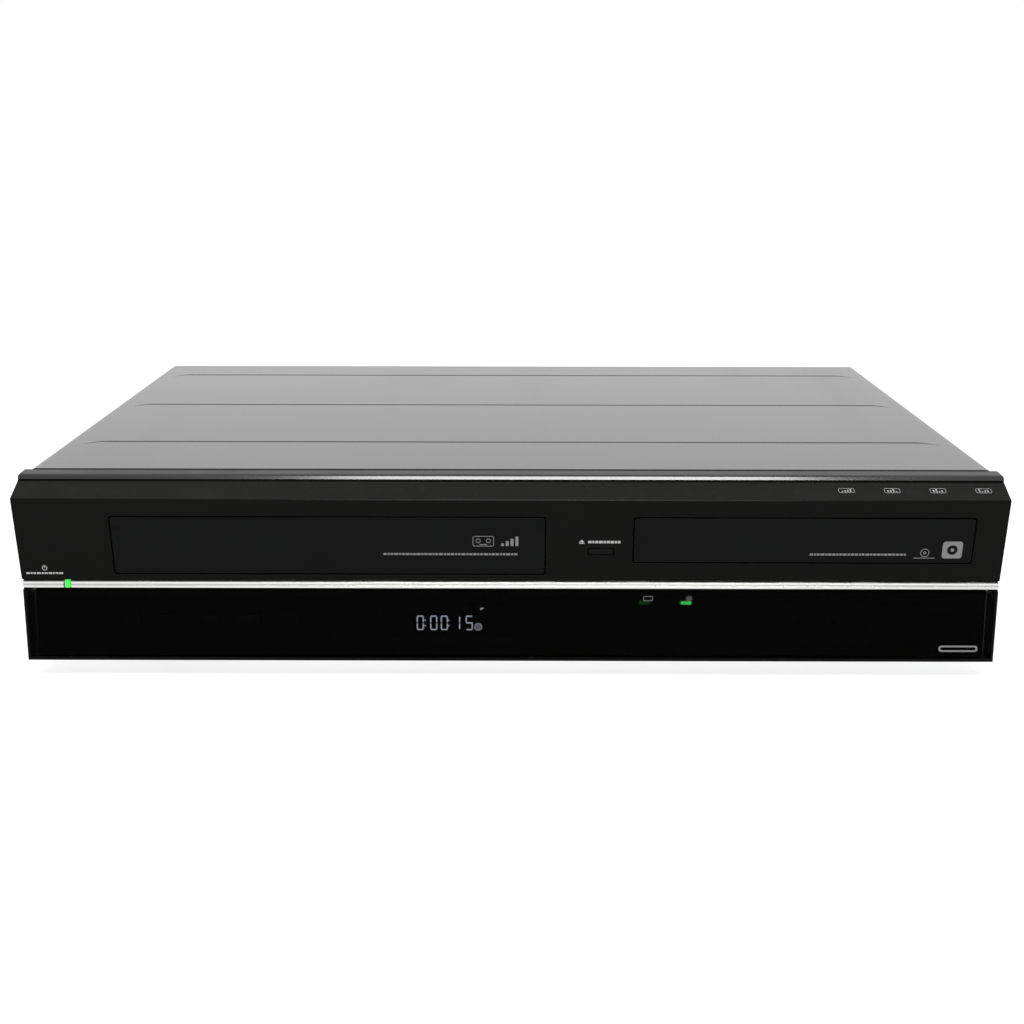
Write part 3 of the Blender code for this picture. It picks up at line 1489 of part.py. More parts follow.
def build_boards():
    """Main board on the right with its chips, power board at the rear left with its transformer."""
    low = PAN_TOP_Z + BOARD_SEAT
    top = low + BOARD
    front = BROW_Y + MAIN_FRONT
    back = INSIDE_REAR_Y - BOARD_REAR_GAP
    loops = [rectangle(MAIN_LEFT, front, MAIN_RIGHT, back)]
    loops += [circle(x, y, FRAME_LEG_RADIUS + 2 * GAP) for x, y in frame_legs()]
    board = piece("main_board", slab("Z", loops, low, top), "board_green")
    chip = CHIP_SIZE / 2
    x = (MAIN_LEFT + MAIN_RIGHT) / 2
    y = BROW_Y + FRAME_BACK + CHIP_SIZE
    join(
        board,
        box((x - chip, y - chip, top - SINK), (x + chip, y + chip, top + CHIP_HEIGHT)),
        box((x + 2 * chip, y - chip, top - SINK), (x + 3 * chip, y + chip, top + CHIP_HEIGHT)),
        box((x - 4 * chip, y - chip, top - SINK), (x - 2 * chip, y, top + SINK_HEIGHT)),
    )

    front = BROW_Y + POWER_FRONT
    board = piece(
        "power_board", slab("Z", [rectangle(POWER_LEFT, front, POWER_RIGHT, back)], low, top),
        "board_green",
    )
    radius = CAPACITOR_RADIUS
    x = POWER_RIGHT - 2 * radius
    y = front + 2 * radius
    join(
        board,
        rod((x, y, top - SINK), (x, y, top + CAPACITOR_HEIGHT), radius),
        box((x - 4 * radius, y - radius, top - SINK), (x - 2 * radius, y, top + SINK_HEIGHT)),
    )
    left = POWER_LEFT + STANDOFF_RADIUS * 4
    coil = TRANSFORMER_COIL
    near = front + coil
    seat = top + GAP
    right = left + TRANSFORMER_WIDTH
    far = near + TRANSFORMER_DEPTH - 2 * coil
    head = seat + TRANSFORMER_HEIGHT
    core = piece("transformer", box((left, near, seat), (right, far, head)), "copper_coil")
    winding = box(
        (left + 2 * coil, near - coil, seat + 2 * coil),
        (right - 2 * coil, far + coil, head - 2 * coil),
    )
    join(core, winding)


def deck_plate_z():
    """Underside and top of the tape deck's plate."""
    low = PAN_TOP_Z + DECK_PLATE_LIFT
    return low, low + DECK_PLATE


def tape_place(x, setback):
    return TAPE_X + x, BROW_Y + setback


def build_tape_deck():
    low, top = deck_plate_z()
    front, back = BROW_Y + DECK_PLATE_FRONT, BROW_Y + DECK_PLATE_BACK
    left, right = TAPE_X - DECK_PLATE_HALF, TAPE_X + DECK_PLATE_HALF
    bore = AXLE_RADIUS + GAP
    axles = [
        tape_place(-REEL_PLACE, REEL_SETBACK),
        tape_place(REEL_PLACE, REEL_SETBACK),
        tape_place(0, DRUM_SETBACK),
        tape_place(CAPSTAN_X, CAPSTAN_SETBACK),
        tape_place(PULLEY_X, PULLEY_SETBACK),
        tape_place(PINCH_PIVOT_X, CAPSTAN_SETBACK),
    ]
    loops = [rectangle(left, front, right, back)]
    loops += [circle(x, y, bore) for x, y in axles]
    plate = piece("deck_plate", slab("Z", loops, low, top), "zinc_sheet")
    inset = LEG_INSET
    join(
        plate,
        *[
            rod((x, y, PAN_TOP_Z + GAP), (x, y, low + DECK_PLATE / 2), LEG_RADIUS, SMALL_SIDES)
            for x in (left + inset, right - inset)
            for y in (front + inset, back - inset)
        ],
    )

    axle = AXLE_RADIUS
    for name, side in (("supply_reel", -1), ("take_up_reel", 1)):
        x, y = tape_place(side * REEL_PLACE, REEL_SETBACK)
        seat = top + GAP
        flange = seat + REEL_HEIGHT
        tip = flange + REEL_SPINDLE_HEIGHT
        turned(
            name,
            [
                (0, tip), (REEL_SPINDLE_RADIUS, tip - axle), (REEL_SPINDLE_RADIUS, flange),
                (REEL_RADIUS, flange), (REEL_RADIUS, seat), (axle, seat), (axle, low), (0, low),
            ],
            "light_plastic", (x, y, 0), ROUND_SIDES + SMALL_SIDES,
        )

    x, y = tape_place(0, DRUM_SETBACK)
    seat = top + GAP
    rim = seat + DRUM_BASE_HEIGHT
    profile = [
        (axle + GAP, rim), (DRUM_RADIUS, rim), (DRUM_RADIUS, seat), (axle + GAP, seat)
    ]
    turned("drum_base", profile, "bright_metal", (x, y, 0))
    under = rim + GAP
    crown = under + DRUM_HEIGHT
    drum = turned(
        "head_drum",
        [
            (0, crown), (DRUM_RADIUS - axle, crown), (DRUM_RADIUS, crown - axle), (DRUM_RADIUS, under),
            (axle, under), (axle, low), (0, low),
        ],
        "bright_metal", (x, y, 0),
    )
    notch = DRUM_NOTCH / 2
    cuts = []
    for i in range(DRUM_NOTCHES):
        cut = box(
            (DRUM_RADIUS - notch, -notch, under - SINK),
            (DRUM_RADIUS + OVERRUN, notch, under + DRUM_NOTCH),
        )
        turn = Matrix.Rotation(2 * math.pi * (i + 0.5) / DRUM_NOTCHES, 4, "Z")
        bmesh.ops.transform(cut, matrix=Matrix.Translation((x, y, 0)) @ turn, verts=cut.verts)
        cuts.append(cut)
    carve(drum, *cuts)

    x, y = tape_place(CAPSTAN_X, CAPSTAN_SETBACK)
    wheel_top = low - GAP
    wheel_low = wheel_top - FLYWHEEL_HEIGHT
    groove = wheel_low + (FLYWHEEL_HEIGHT - BELT_HEIGHT) / 2
    turned(
        "capstan",
        [
            (0, top + CAPSTAN_RISE), (axle, top + CAPSTAN_RISE), (axle, wheel_top),
            (FLYWHEEL_RADIUS, wheel_top), (FLYWHEEL_RADIUS, wheel_low), (0, wheel_low),
        ],
        "bright_metal", (x, y, 0),
    )
    belt_x, belt_y = x, y
    x, y = tape_place(PULLEY_X, PULLEY_SETBACK)
    turned(
        "belt_pulley",
        [
            (0, top), (axle, top), (axle, wheel_top), (PULLEY_RADIUS, wheel_top),
            (PULLEY_RADIUS, wheel_low), (0, wheel_low),
        ],
        "light_plastic", (x, y, 0), ROUND_SIDES + SMALL_SIDES,
    )
    build_belt(belt_x, belt_y, x, y, groove)

    x, y = tape_place(LOADING_X, LOADING_SETBACK)
    seat = top + GAP
    turned(
        "loading_motor",
        [
            (0, seat + LOADING_HEIGHT + DRUM_NOTCH), (axle, seat + LOADING_HEIGHT + DRUM_NOTCH),
            (axle, seat + LOADING_HEIGHT), (LOADING_RADIUS, seat + LOADING_HEIGHT),
            (LOADING_RADIUS, seat), (0, seat),
        ],
        "bright_metal", (x, y, 0), ROUND_SIDES + SMALL_SIDES,
    )
    build_pinch(low, top)
    build_carriage(top)


def belt_loop(ax, ay, ar, bx, by, br):
    """Outline of an open belt round two wheels: two arcs joined by their outer tangents."""
    gap = math.hypot(bx - ax, by - ay)
    heading = math.degrees(math.atan2(by - ay, bx - ax))
    slant = math.degrees(math.acos((ar - br) / gap))
    loop = arc(ax, ay, ar, heading + slant, heading + 360 - slant, ROUND_SIDES)
    loop += arc(bx, by, br, heading - slant, heading + slant, SMALL_SIDES)
    return loop


def build_belt(ax, ay, bx, by, z):
    inner = belt_loop(ax, ay, FLYWHEEL_RADIUS + 2 * GAP, bx, by, PULLEY_RADIUS + 2 * GAP)
    reach = 2 * GAP + BELT_THICKNESS
    outer = belt_loop(ax, ay, FLYWHEEL_RADIUS + reach, bx, by, PULLEY_RADIUS + reach)
    piece("drive_belt", slab("Z", [outer, inner], z, z + BELT_HEIGHT), "rubber")


def build_pinch(low, top):
    """Pinch arm on its pivot pin, with the rubber roller that presses on the capstan."""
    x, y = tape_place(PINCH_PIVOT_X, CAPSTAN_SETBACK)
    turn = math.radians(PINCH_REST_TURN)
    tip_x = x + PINCH_ARM_LENGTH * math.cos(turn)
    tip_y = y + PINCH_ARM_LENGTH * math.sin(turn)
    half = PINCH_ARM_HALF
    heading = math.degrees(turn)
    loop = arc(x, y, half, heading + 90, heading + 270, SMALL_SIDES)
    loop += arc(tip_x, tip_y, half, heading - 90, heading + 90, SMALL_SIDES)
    seat = top + GAP
    roof = seat + PINCH_ARM_HEIGHT
    arm = piece("pinch_arm", slab("Z", [loop], seat, roof), "zinc_sheet", (x, y, seat))
    join(arm, rod((x, y, low), (x, y, seat + SINK), AXLE_RADIUS, SMALL_SIDES))
    end = roof + PINCH_ROLLER_HEIGHT
    join(arm, rod((tip_x, tip_y, roof - SINK), (tip_x, tip_y, end), AXLE_RADIUS, SMALL_SIDES))
    bore = AXLE_RADIUS + GAP
    seat = roof + GAP
    profile = [
        (bore, end), (PINCH_ROLLER_RADIUS, end), (PINCH_ROLLER_RADIUS, seat), (bore, seat)
    ]
    turned("pinch_roller", profile, "rubber", (tip_x, tip_y, 0), ROUND_SIDES)


def sled_floor_z():
    return flap_opening()[1] - SLED_FLOOR_DROP


def build_carriage(deck_top):
    """Frame that stands on the deck plate, and the sled that takes the cassette in."""
    half = CARRIAGE_HALF
    low = deck_top + GAP
    top = COVER_TOP_Z - CARRIAGE_TOP_DROP
    wall = CARRIAGE_WALL
    section = shifted(channel(half, low, top, wall), TAPE_X, 0)
    front, back = BROW_Y + CARRIAGE_FRONT, BROW_Y + CARRIAGE_BACK
    frame = piece("cassette_carriage", slab("Y", [section], front, back), "zinc_sheet")

    floor = sled_floor_z()
    sled_half = half - wall - SLED_SIDE_GAP
    sled_front = BROW_Y + SLED_FRONT
    sled_back = sled_front + SLED_LENGTH
    pin = SLED_PIN_RADIUS
    z = floor + SLED_PIN_LIFT
    pins = (sled_front + SLED_PIN_INSET, sled_back - SLED_PIN_INSET)
    slots = []
    for side in (-1, 1):
        for y in pins:
            inner, outer = TAPE_X + side * (sled_half + pin), TAPE_X + side * (half + OVERRUN)
            slots.append(
                box(
                    (min(inner, outer), y - pin - GAP, z - pin - GAP),
                    (max(inner, outer), y + pin + GAP + SLED_TRAVEL, z + pin + GAP),
                )
            )
    carve(frame, *slots)

    lip, thin, high = SLED_LIP, SLED_WALL, floor + SLED_HEIGHT
    section = [
        (-sled_half, floor), (sled_half, floor), (sled_half, high), (sled_half - lip, high),
        (sled_half - lip, high - thin), (sled_half - thin, high - thin), (sled_half - thin, floor + thin),
        (-sled_half + thin, floor + thin), (-sled_half + thin, high - thin), (-sled_half + lip, high - thin),
        (-sled_half + lip, high), (-sled_half, high),
    ]
    sled = piece(
        "cassette_sled", slab("Y", [shifted(section, TAPE_X, 0)], sled_front, sled_back), "dark_plastic",
        (TAPE_X, sled_front, floor),
    )
    join(
        sled,
        *[
            rod(
                (TAPE_X + side * (sled_half - thin / 2), y, z), (TAPE_X + side * (half - GAP), y, z),
                pin, SMALL_SIDES,
            )
            for side in (-1, 1)
            for y in pins
        ],
    )


def tray_z():
    """Underside and top of the disc tray."""
    low = KINK_Z + TRAY_FRONT_LIFT + TRAY_LIFT
    return low, low + TRAY_THICKNESS


def pickup_reach_y():
    """How far back the pickup comes at the end of its slide."""
    return BROW_Y + PICKUP_FRONT + PICKUP_LENGTH + PICKUP_TRAVEL


def floor_window():
    """Corners of the window in the drive's floor, which the traverse fills and rises through."""
    return (
        DISC_X - FLOOR_WINDOW_HALF, BROW_Y + FLOOR_WINDOW_FRONT,
        DISC_X + FLOOR_WINDOW_HALF, pickup_reach_y() + FLOOR_WINDOW_MARGIN,
    )


def frame_floor_z():
    top = tray_z()[0] - FRAME_FLOOR_DROP + FRAME_FLOOR
    return top - FRAME_FLOOR, top


def frame_half():
    return TRAY_WIDTH / 2 + FRAME_SIDE_GAP + FRAME_WALL


def frame_legs():
    inset = FRAME_LEG_INSET
    half = frame_half() - inset
    front, back = BROW_Y + FRAME_FRONT + 2 * inset, BROW_Y + FRAME_BACK - inset
    return [(DISC_X + side * half, y) for side in (-1, 1) for y in (front, back)]


def gear_centre():
    pitch_radius = TOOTH_MODULE * GEAR_TEETH / 2
    return rack_line_x() + pitch_radius, BROW_Y + GEAR_SETBACK


def rack_line_x():
    """Pitch line of the rack under the tray's left side."""
    return DISC_X - TRAY_WIDTH / 2 + RACK_PLACE + RACK_BACKING + TOOTH_MODULE * TOOTH_ROOT_SHARE


def rack_outline():
    """Straight rack: teeth point to the right, one tooth facing each gap of the gear."""
    pitch = math.pi * TOOTH_MODULE
    root, middle, tip = [share * TOOTH_MODULE / 2 for share in TOOTH_WIDTH_SHARES]
    line = rack_line_x()
    deep = line - TOOTH_MODULE * TOOTH_ROOT_SHARE
    high = line + TOOTH_MODULE * TOOTH_REACH_SHARE
    start = gear_centre()[1] - pitch / 2
    count = TRAY_TRAVEL_PITCHES + RACK_SPARE_TEETH
    loop = []
    for i in range(count):
        y = start + pitch * i
        loop += [(deep, y - root), (line, y - middle), (high, y - tip)]
        loop += [(high, y + tip), (line, y + middle), (deep, y + root)]
    back = deep - RACK_BACKING
    first, last = start - pitch / 2, start + pitch * count - pitch / 2
    return [(back, first), (deep, first)] + loop + [(deep, last), (back, last)]


def gear_outline(x, y):
    """Gear with trapezoid teeth, one of them pointing at the rack."""
    radius = TOOTH_MODULE * GEAR_TEETH / 2
    root, middle, tip = [share * TOOTH_MODULE / 2 for share in TOOTH_WIDTH_SHARES]
    levels = (
        (radius - TOOTH_MODULE * TOOTH_ROOT_SHARE, root),
        (radius, middle),
        (radius + TOOTH_MODULE * TOOTH_REACH_SHARE, tip),
    )
    loop = []
    for i in range(GEAR_TEETH):
        centre = math.pi + 2 * math.pi * i / GEAR_TEETH
        rising = [(r, centre - half / r) for r, half in levels]
        falling = [(r, centre + half / r) for r, half in reversed(levels)]
        loop += [(x + r * math.cos(a), y + r * math.sin(a)) for r, a in rising + falling]
    return loop


def build_disc_drive():
    low, top = tray_z()
    floor_low, floor_top = frame_floor_z()
    half = frame_half()
    front, back = BROW_Y + FRAME_FRONT, BROW_Y + FRAME_BACK
    wall_top = top + FRAME_WALL_RISE
    disc_y = BROW_Y + DISC_SETBACK

    window = rectangle(*floor_window())
    outline = rectangle(DISC_X - half, front, DISC_X + half, back)
    frame = piece("drive_frame", slab("Z", [outline, window], floor_low, floor_top), "dark_plastic")
    inner = half - FRAME_WALL
    walls = rectangle(-half, front, half, back)
    walls[1:1] = [(-inner, front), (-inner, back - FRAME_WALL), (inner, back - FRAME_WALL), (inner, front)]
    join(frame, slab("Z", [shifted(walls, DISC_X, 0)], floor_low + SINK, wall_top))
    ledge_top = low - GAP
    ledges = [
        (DISC_X - inner - SINK, DISC_X - inner + LEDGE_WIDTH),
        (DISC_X + inner - LEDGE_WIDTH, DISC_X + inner + SINK),
    ]
    ledge_low = ledge_top - LEDGE_THICKNESS
    join(frame, *[box((a, front + SINK, ledge_low), (b, back - SINK, ledge_top)) for a, b in ledges])
    join(
        frame,
        *[
            rod((x, y, PAN_TOP_Z + GAP), (x, y, floor_low + SINK), FRAME_LEG_RADIUS, SMALL_SIDES)
            for x, y in frame_legs()
        ],
    )
    gear_x, gear_y = gear_centre()
    gear_low = low - GAP - RACK_DROP
    root = (gear_x, gear_y, floor_top - SINK)
    gear_top = gear_low + GEAR_THICKNESS
    join(frame, rod(root, (gear_x, gear_y, gear_top), AXLE_RADIUS, SMALL_SIDES))
    join(frame, rod(root, (gear_x, gear_y, gear_low - GAP), AXLE_RADIUS * 2, SMALL_SIDES))

    build_tray(low, top)
    hole = circle(gear_x, gear_y, AXLE_RADIUS + GAP, SMALL_SIDES)
    piece(
        "tray_gear", slab("Z", [gear_outline(gear_x, gear_y), hole], gear_low, gear_top),
        "light_plastic", (gear_x, gear_y, gear_low),
    )
    build_traverse(floor_low, disc_y)
    build_clamp(wall_top, disc_y, half)


def build_tray(low, top):
    """Disc tray with its round recess, the window under the disc and the rack beneath, and its front."""
    left, front_low, right, front_high = grown(tray_opening(), -FRONT_GAP)
    panel = face_panel((left, front_low, right, front_high), TRAY_FRONT_THICKNESS, CORNER_RADIUS)
    piece("tray_front", panel, "bezel_plastic", (DISC_X, BROW_Y, front_low))

    half = TRAY_WIDTH / 2
    start = face_y(low) + TRAY_FRONT_THICKNESS + TRAY_GAP_BEHIND_FRONT
    end = BROW_Y + TRAY_BACK
    disc_y = BROW_Y + DISC_SETBACK
    slant = math.degrees(math.asin(TRAY_SLOT_HALF / TRAY_HOLE_RADIUS))
    window = arc(DISC_X, disc_y, TRAY_HOLE_RADIUS, 90 + slant, 450 - slant, ROUND_SIDES)
    reach = pickup_reach_y() + TRAY_SLOT_CLEARANCE
    window += [(DISC_X + TRAY_SLOT_HALF, reach), (DISC_X - TRAY_SLOT_HALF, reach)]
    outline = rectangle(DISC_X - half, start, DISC_X + half, end)
    tray = piece("disc_tray", slab("Z", [outline, window], low, top), "dark_plastic", (DISC_X, start, low))
    recess_floor = (DISC_X, disc_y, top - DISC_RECESS_DEPTH)
    carve(tray, rod(recess_floor, (DISC_X, disc_y, top + OVERRUN), DISC_RECESS_RADIUS, DISC_SIDES))
    join(tray, slab("Z", [rack_outline()], low - RACK_DROP, low + SINK))


def build_traverse(low, disc_y):
    """Plate that lifts the spindle and the pickup to the disc, with its motor, turntable and pickup."""
    top = low + TRAVERSE_THICKNESS
    rail_z = top + TRAVERSE_RIM
    left, front, right, back = grown(floor_window(), -GAP)
    plate = piece(
        "traverse", slab("Z", [rectangle(left, front, right, back)], low, top),
        "zinc_sheet", (DISC_X, disc_y, low),
    )
    rail_front = disc_y + TURNTABLE_RADIUS + RAIL_BLOCK
    rail_back = back - RAIL_BLOCK
    block_half = RAIL_PLACE + RAIL_RADIUS * 2
    block_top = rail_z + RAIL_RADIUS + SINK
    blocks = [
        box((DISC_X - block_half, y, top - SINK), (DISC_X + block_half, y + RAIL_BLOCK, block_top))
        for y in (rail_front - RAIL_BLOCK / 2, rail_back - RAIL_BLOCK / 2)
    ]
    join(plate, *blocks)
    rail_places = [DISC_X + side * RAIL_PLACE for side in (-1, 1)]
    join(
        plate,
        *[
            rod((x, rail_front, rail_z), (x, rail_back, rail_z), RAIL_RADIUS, SMALL_SIDES)
            for x in rail_places
        ],
    )
    seat = top + GAP
    raised_top = tray_z()[1] - DISC_RECESS_DEPTH + DISC_LIFT
    motor_top = raised_top - TRAVERSE_TRAVEL - TURNTABLE_HEIGHT - GAP
    bore = AXLE_RADIUS + GAP
    turned(
        "spindle_motor",
        [(bore, motor_top), (MOTOR_RADIUS, motor_top), (MOTOR_RADIUS, seat), (bore, seat)],
        "bright_metal", (DISC_X, disc_y, 0), ROUND_SIDES + SMALL_SIDES,
    )
    table_low = motor_top + GAP
    table_top = table_low + TURNTABLE_HEIGHT
    boss_top = table_top + TURNTABLE_BOSS_HEIGHT
    boss = TURNTABLE_BOSS_RADIUS
    turned(
        "turntable",
        [
            (0, boss_top), (boss - SINK, boss_top), (boss, boss_top - SINK), (boss, table_top),
            (TURNTABLE_RADIUS, table_top), (TURNTABLE_RADIUS, table_low), (AXLE_RADIUS, table_low),
            (AXLE_RADIUS, seat), (0, seat),
        ],
        "dark_plastic", (DISC_X, disc_y, 0), ROUND_SIDES + SMALL_SIDES,
    )
    start = BROW_Y + PICKUP_FRONT
    under = rail_z - RAIL_RADIUS - GAP - SINK / 2
    end = start + PICKUP_LENGTH
    roof = under + PICKUP_HEIGHT
    block = box((DISC_X - PICKUP_HALF, start, under + SINK), (DISC_X + PICKUP_HALF, end, roof))
    pickup = piece("pickup", block, "dark_plastic", (DISC_X, start, under))
    wing = RAIL_PLACE + RAIL_RADIUS * 3
    wing_low = rail_z + RAIL_RADIUS + GAP
    wings = box(
        (DISC_X - wing, start + RAIL_BLOCK, wing_low),
        (DISC_X + wing, end - RAIL_BLOCK, wing_low + SINK * 2),
    )
    join(pickup, wings)
    y = (start + end) / 2
    join(pickup, rod((DISC_X, y, roof - SINK), (DISC_X, y, roof + PICKUP_LENS_HEIGHT), PICKUP_LENS_RADIUS))


def build_clamp(wall_top, disc_y, half):
    """Bridge over the tray and the puck that hangs in it."""
    low = wall_top + GAP
    top = low + BRIDGE_THICKNESS
    neck = PUCK_NECK_RADIUS
    outline = rectangle(DISC_X - half, disc_y - BRIDGE_HALF_DEPTH, DISC_X + half, disc_y + BRIDGE_HALF_DEPTH)
    hole = circle(DISC_X, disc_y, neck + 2 * GAP, LARGE_SIDES)
    piece("clamp_bridge", slab("Z", [outline, hole], low, top), "zinc_sheet")
    flange = PUCK_FLANGE
    turned(
        "clamp_puck",
        [
            (0, top + GAP + flange), (PUCK_RADIUS, top + GAP + flange), (PUCK_RADIUS, top + GAP),
            (neck, top + GAP), (neck, low - GAP), (PUCK_RADIUS, low - GAP),
            (PUCK_RADIUS, low - GAP - flange), (0, low - GAP - flange),
        ],
        "light_plastic", (DISC_X, disc_y, 0), ROUND_SIDES + SMALL_SIDES,
    )


def build_player():
    build_bezel()
    build_strip()
    build_flap()
    build_door()
    build_open_button()
    build_control_deck()
    build_front_board()
    build_chassis()
    build_cover()
    build_rear_panel()
    build_rear_sockets()
    build_fan()
    build_boards()
    build_tape_deck()
    build_disc_drive()


build_player()
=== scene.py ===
# %% [markdown]
# # A disc and tape combo player, dressed for its picture
#
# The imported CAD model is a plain, exact frame: every piece has its true place, but flat shading and
# square edges. This lesson keeps that frame and builds the looks around it: softer edges, pressed
# sheet metal, smoked plastic, printed marks and worn-in finishes.
#
# Lengths are in metres, X runs to the right, Y to the back and Z up. The frame comes first, because
# every new piece takes its place from a CAD piece.

# %% Load the frame
import json
import math

import bmesh
import bpy
import numpy as np
from mathutils import Matrix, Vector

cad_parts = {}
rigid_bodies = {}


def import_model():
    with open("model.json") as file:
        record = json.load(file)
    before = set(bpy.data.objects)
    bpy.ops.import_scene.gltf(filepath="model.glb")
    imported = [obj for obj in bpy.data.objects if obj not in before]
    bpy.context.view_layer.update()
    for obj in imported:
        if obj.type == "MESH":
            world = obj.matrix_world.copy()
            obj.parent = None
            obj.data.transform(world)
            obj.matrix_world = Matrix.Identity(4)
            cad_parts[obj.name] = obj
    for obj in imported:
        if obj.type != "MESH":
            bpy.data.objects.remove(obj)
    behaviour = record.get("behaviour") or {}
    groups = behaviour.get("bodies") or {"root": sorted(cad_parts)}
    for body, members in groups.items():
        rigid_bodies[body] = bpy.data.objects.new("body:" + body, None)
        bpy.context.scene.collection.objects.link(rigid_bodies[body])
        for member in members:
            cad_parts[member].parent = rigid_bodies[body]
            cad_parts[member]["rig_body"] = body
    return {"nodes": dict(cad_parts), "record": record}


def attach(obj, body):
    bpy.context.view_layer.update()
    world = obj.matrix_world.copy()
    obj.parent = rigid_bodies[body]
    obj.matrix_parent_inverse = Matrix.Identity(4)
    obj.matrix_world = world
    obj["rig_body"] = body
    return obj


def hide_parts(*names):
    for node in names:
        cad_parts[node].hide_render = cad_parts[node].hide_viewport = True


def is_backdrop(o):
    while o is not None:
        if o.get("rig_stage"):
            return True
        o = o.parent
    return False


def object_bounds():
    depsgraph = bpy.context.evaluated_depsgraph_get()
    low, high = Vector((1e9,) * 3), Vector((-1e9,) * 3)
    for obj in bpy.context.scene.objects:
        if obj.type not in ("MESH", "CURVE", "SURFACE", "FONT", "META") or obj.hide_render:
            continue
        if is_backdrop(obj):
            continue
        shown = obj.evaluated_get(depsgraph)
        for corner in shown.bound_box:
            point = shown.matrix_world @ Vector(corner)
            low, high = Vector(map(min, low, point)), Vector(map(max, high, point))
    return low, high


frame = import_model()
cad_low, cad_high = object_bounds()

MM = 0.001
slot_of = {part["node"]: part["material_slot"] for part in frame["record"]["subparts"]}

# %% [markdown]
# ## Shapes as arrays
#
# A shape here is a pair: an array of points and a list of faces. Most of the player is either a
# profile carried along a line or a stack of closed loops, so one function that joins loops into a
# skin serves nearly every piece. Working on whole arrays keeps it quick and keeps the formula in
# sight, where modelling by hand would hide it.


# %% Skins made of loops
def loft(loops):
    """Joins closed loops into a skin: loop i meets loop i + 1 with one quad per point, and each end
    is closed by a flat face. loops has the shape (how many, points in each, 3)."""
    loops = np.asarray(loops, float)
    count, size = loops.shape[:2]
    start = np.arange(count - 1)[:, None] * size
    here = np.arange(size)[None, :]
    after = (here + 1) % size
    quads = np.stack([start + here, start + after, start + size + after, start + size + here], -1)
    faces = quads.reshape(-1, 4).tolist()
    faces.append(np.arange(size)[::-1].tolist())
    faces.append(np.arange((count - 1) * size, count * size).tolist())
    return loops.reshape(-1, 3), faces


def joined(shapes):
    """Several shapes as one: their points are stacked, and each face's numbers move up by the points
    that come before it."""
    points = [shape[0] for shape in shapes]
    starts = np.cumsum([0] + [len(p) for p in points[:-1]])
    faces = []
    for (_, group), start in zip(shapes, starts.tolist()):
        faces += [[i + start for i in face] for face in group]
    return np.concatenate(points), faces


def corner_loop(left, low, right, high, radius, steps=6):
    """A rectangle with quarter circles for corners: each corner is its centre plus radius times
    (cos, sin) of an angle that runs over a quarter turn."""
    radius = max(radius, 1e-5)
    turn = np.linspace(0, np.pi / 2, steps + 1)[None, :] + np.arange(4)[:, None] * np.pi / 2
    across = np.array([right - radius, left + radius, left + radius, right - radius])[:, None]
    up = np.array([high - radius, high - radius, low + radius, low + radius])[:, None]
    return np.stack([across + radius * np.cos(turn), up + radius * np.sin(turn)], -1).reshape(-1, 2)


def round_corners(outline, radii, steps=5):
    """Rounds each corner of a closed outline. Each arc touches both sides at radius / tan(half the
    corner's angle), and its points turn evenly from one side to the other."""
    outline, radii = np.asarray(outline, float), np.maximum(np.asarray(radii, float), 1e-6)
    back = np.roll(outline, 1, 0) - outline
    ahead = np.roll(outline, -1, 0) - outline
    back /= np.linalg.norm(back, axis=1)[:, None]
    ahead /= np.linalg.norm(ahead, axis=1)[:, None]
    half = np.arccos(np.clip((back * ahead).sum(1), -1, 1)) / 2
    middle = back + ahead
    middle /= np.linalg.norm(middle, axis=1)[:, None]
    centre = outline + middle * (radii / np.sin(half))[:, None]
    first = outline + back * (radii / np.tan(half))[:, None] - centre
    last = outline + ahead * (radii / np.tan(half))[:, None] - centre
    sweep = (np.pi - 2 * half)[:, None]
    share = np.linspace(0, 1, steps + 1)[None, :]
    weight_first = np.sin((1 - share) * sweep) / np.sin(sweep)
    weight_last = np.sin(share * sweep) / np.sin(sweep)
    arcs = centre[:, None] + first[:, None] * weight_first[..., None] + last[:, None] * weight_last[..., None]
    return arcs.reshape(-1, 2)


print("a rounded square has", len(corner_loop(0, 0, 1, 1, 0.2)), "points")

# %% [markdown]
# ## From arrays to pieces
#
# A finished piece is an object at the origin whose place is in its mesh, as in the CAD frame. Each
# one rides on a CAD body, so it moves when the joint moves, and the CAD piece that it stands for is
# hidden. Edges sharper than about 35 degrees stay crisp and the rest shade smoothly: that is enough
# for moulded plastic, whose curves are tight but whose faces are flat.


# %% Meshes, cuts and pieces
def make_mesh(name, shape, sharp=35.0):
    """A mesh from a shape, with doubled points merged and all faces turned outwards."""
    points, faces = shape
    mesh = bpy.data.meshes.new(name)
    mesh.from_pydata(points.tolist(), [], faces)
    tidy_mesh(mesh, sharp)
    return mesh


def tidy_mesh(mesh, sharp):
    """Merges doubled points, turns the faces outwards and marks the edges that stay crisp."""
    work = bmesh.new()
    work.from_mesh(mesh)
    bmesh.ops.remove_doubles(work, verts=work.verts, dist=2e-6)
    bmesh.ops.recalc_face_normals(work, faces=work.faces)
    work.to_mesh(mesh)
    work.free()
    mesh.shade_smooth()
    mesh.set_sharp_from_angle(angle=math.radians(sharp))


def solid(name, shape, sharp=35.0):
    thing = bpy.data.objects.new(name, make_mesh(name, shape, sharp))
    bpy.context.scene.collection.objects.link(thing)
    return thing


def settle(thing, sharp=35.0):
    """Makes what the modifiers give the object's own mesh."""
    view = thing.evaluated_get(bpy.context.evaluated_depsgraph_get())
    mesh = bpy.data.meshes.new_from_object(view)
    thing.modifiers.clear()
    thing.data = mesh
    tidy_mesh(mesh, sharp)


